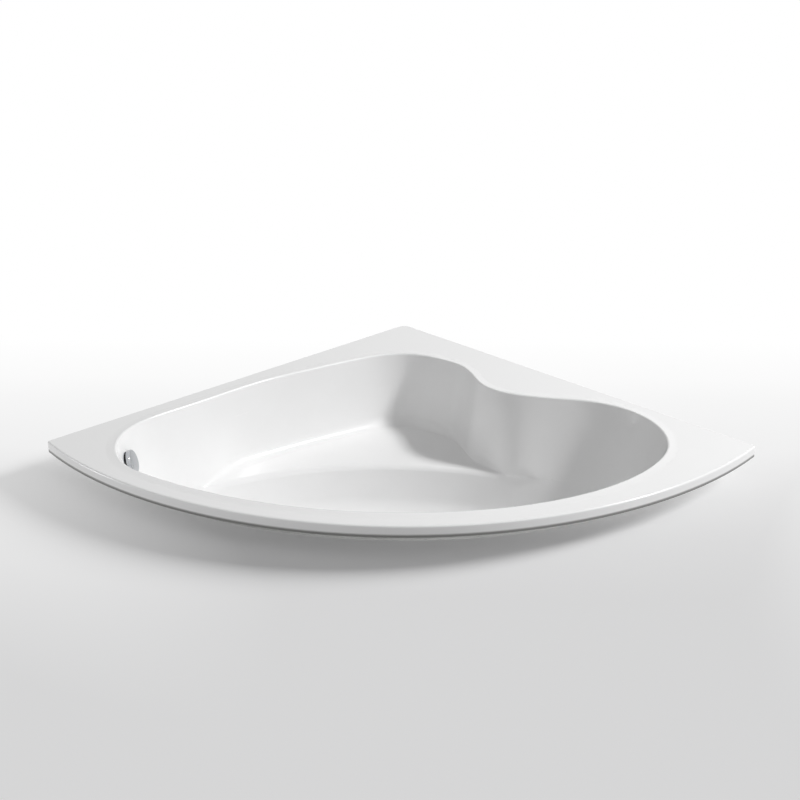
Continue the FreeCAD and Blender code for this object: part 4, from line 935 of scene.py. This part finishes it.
# %% [markdown]
# The elbow, the waste body, the trap and their collar nuts are white polypropylene. It is waxy: the
# highlight is broad and the colour a touch warm. Flow in the mould leaves faint streaks a few centimetres
# long, and the surface has a fine orange-peel about a millimetre across.

# %% White polypropylene for the drain
polypropylene, tree, place, surface = new_material("moulded white polypropylene")
flow = add(tree, "ShaderNodeMapping", {"Vector": place}, {"Scale": (1 / 0.006, 1 / 0.006, 1 / 0.030)})
streaks = add(tree, "ShaderNodeTexNoise", {"Vector": flow.outputs[0]}, {"Scale": 1, "Detail": 3})
peel = add(tree, "ShaderNodeTexNoise", {"Vector": place}, {"Scale": 1 / 0.001, "Detail": 1})
bump = add(tree, "ShaderNodeBump", {"Height": peel.outputs["Fac"]}, {"Strength": 0.12, "Distance": 0.0002})
tone = add(tree, "ShaderNodeMix", {"Factor": streaks.outputs["Fac"]},
           {6: linear("#ECEBE7"), 7: linear("#DEDDD8")}, data_type="RGBA")
waxy = add(tree, "ShaderNodeMapRange", {"Value": streaks.outputs["Fac"]}, {"To Min": 0.34, "To Max": 0.48})
shader = add(tree, "ShaderNodeBsdfPrincipled",
             {"Base Color": tone.outputs[2], "Roughness": waxy.outputs[0], "Normal": bump.outputs[0]},
             {"IOR": 1.49})
tree.links.new(shader.outputs[0], surface)
dress(polypropylene, "overflow_elbow", "waste_body", "trap_bend")

# %% [markdown]
# Collar nuts are tightened by hand, so they have ribs all round. Each nut is an outline spun about its
# own axis to a body a little under its full radius, in 48 strips. Every second strip is then pushed out to
# the full radius, which gives 24 flat-topped ribs, and a bevel takes the edge off them as a mould does.
# The pipe nuts have a lip at one end that closes on the pipe.

# %% Ribbed collar nuts
RIB_COUNT = 24
RIB_HEIGHT = 0.0014
RIB_EDGE = 0.0003
COLLAR_CHAMFER = 0.0012
PIPE_NUT = {"radius": 0.023, "length": 0.018, "bore": 0.0203, "lip_bore": 0.0163, "lip": 0.004}
TRAP_NUT = {"radius": 0.027, "length": 0.022, "bore": 0.0203}


def collar_nut(node, axis, radius, length, bore, lip_bore=None, lip=0):
    """A ribbed nut in the place of a CAD nut, its lip at the far end of the axis."""
    low_corner, high_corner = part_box(node)
    start = (low_corner + high_corner) / 2 - axis * (length / 2)
    body = radius - RIB_HEIGHT
    inside = [(bore, length), (bore, 0)] if lip_bore is None else [
        (lip_bore, length), (lip_bore, length - lip), (bore, length - lip), (bore, 0)]
    nut = spun(node + "_ribbed", [
        (bore, 0), (body - COLLAR_CHAMFER, 0), (body, COLLAR_CHAMFER), (body, length - COLLAR_CHAMFER),
        (body - COLLAR_CHAMFER, length), *inside,
    ], start, axis, RIB_COUNT * 2)
    aside = axis.orthogonal().normalized()
    across = axis.cross(aside)

    def on_a_rib(centre, normal):
        out = centre - start
        out -= axis * out.dot(axis)
        strip = math.floor(math.atan2(out.dot(across), out.dot(aside)) / math.tau * RIB_COUNT * 2)
        return strip % 2 == 0 and out.length > body * 0.99 and normal.dot(out.normalized()) > 0.95

    pick_faces(nut, on_a_rib)
    bpy.ops.mesh.extrude_region_shrink_fatten(TRANSFORM_OT_shrink_fatten={"value": RIB_HEIGHT})
    bpy.ops.object.mode_set(mode="OBJECT")
    round_edges(nut, RIB_EDGE, 1)
    edit_all(nut)
    bpy.ops.mesh.dissolve_degenerate(threshold=MERGE)
    bpy.ops.object.mode_set(mode="OBJECT")
    bpy.ops.object.shade_smooth_by_angle(angle=math.radians(30))
    reach = max((v.co - start - axis * (v.co - start).dot(axis)).length for v in nut.data.vertices)
    print(node, "ribs reach", round(reach, 5), "of", radius)
    set_in_frame(nut, polypropylene, "bath", node)


down_the_wall = Vector((knob_axis.z, 0, -knob_axis.x))
collar_nut("upper_pipe_nut", down_the_wall, **PIPE_NUT)
collar_nut("lower_pipe_nut", Vector((-1, 0, 0)), **PIPE_NUT)
collar_nut("trap_nut", UP, **TRAP_NUT)

# %% [markdown]
# The overflow pipe is grey plastic drawn through a die, which leaves fine lines along it and an even,
# half-matt face. The lines follow the pipe only roughly here: they are stretched down, as most of it runs.

# %% Extruded grey pipe
grey_pipe, tree, place, surface = new_material("extruded grey polypropylene")
die = add(tree, "ShaderNodeMapping", {"Vector": place}, {"Scale": (1 / 0.0015, 1 / 0.0015, 1 / 0.080)})
lines = add(tree, "ShaderNodeTexNoise", {"Vector": die.outputs[0]}, {"Scale": 1, "Detail": 2})
bump = add(tree, "ShaderNodeBump", {"Height": lines.outputs["Fac"]}, {"Strength": 0.2, "Distance": 0.0002})
tone = add(tree, "ShaderNodeMix", {"Factor": lines.outputs["Fac"]},
           {6: linear("#9EA0A3"), 7: linear("#8D8F92")}, data_type="RGBA")
shader = add(tree, "ShaderNodeBsdfPrincipled", {"Base Color": tone.outputs[2], "Normal": bump.outputs[0]},
             {"Roughness": 0.42, "IOR": 1.49})
tree.links.new(shader.outputs[0], surface)
dress(grey_pipe, "overflow_pipe")
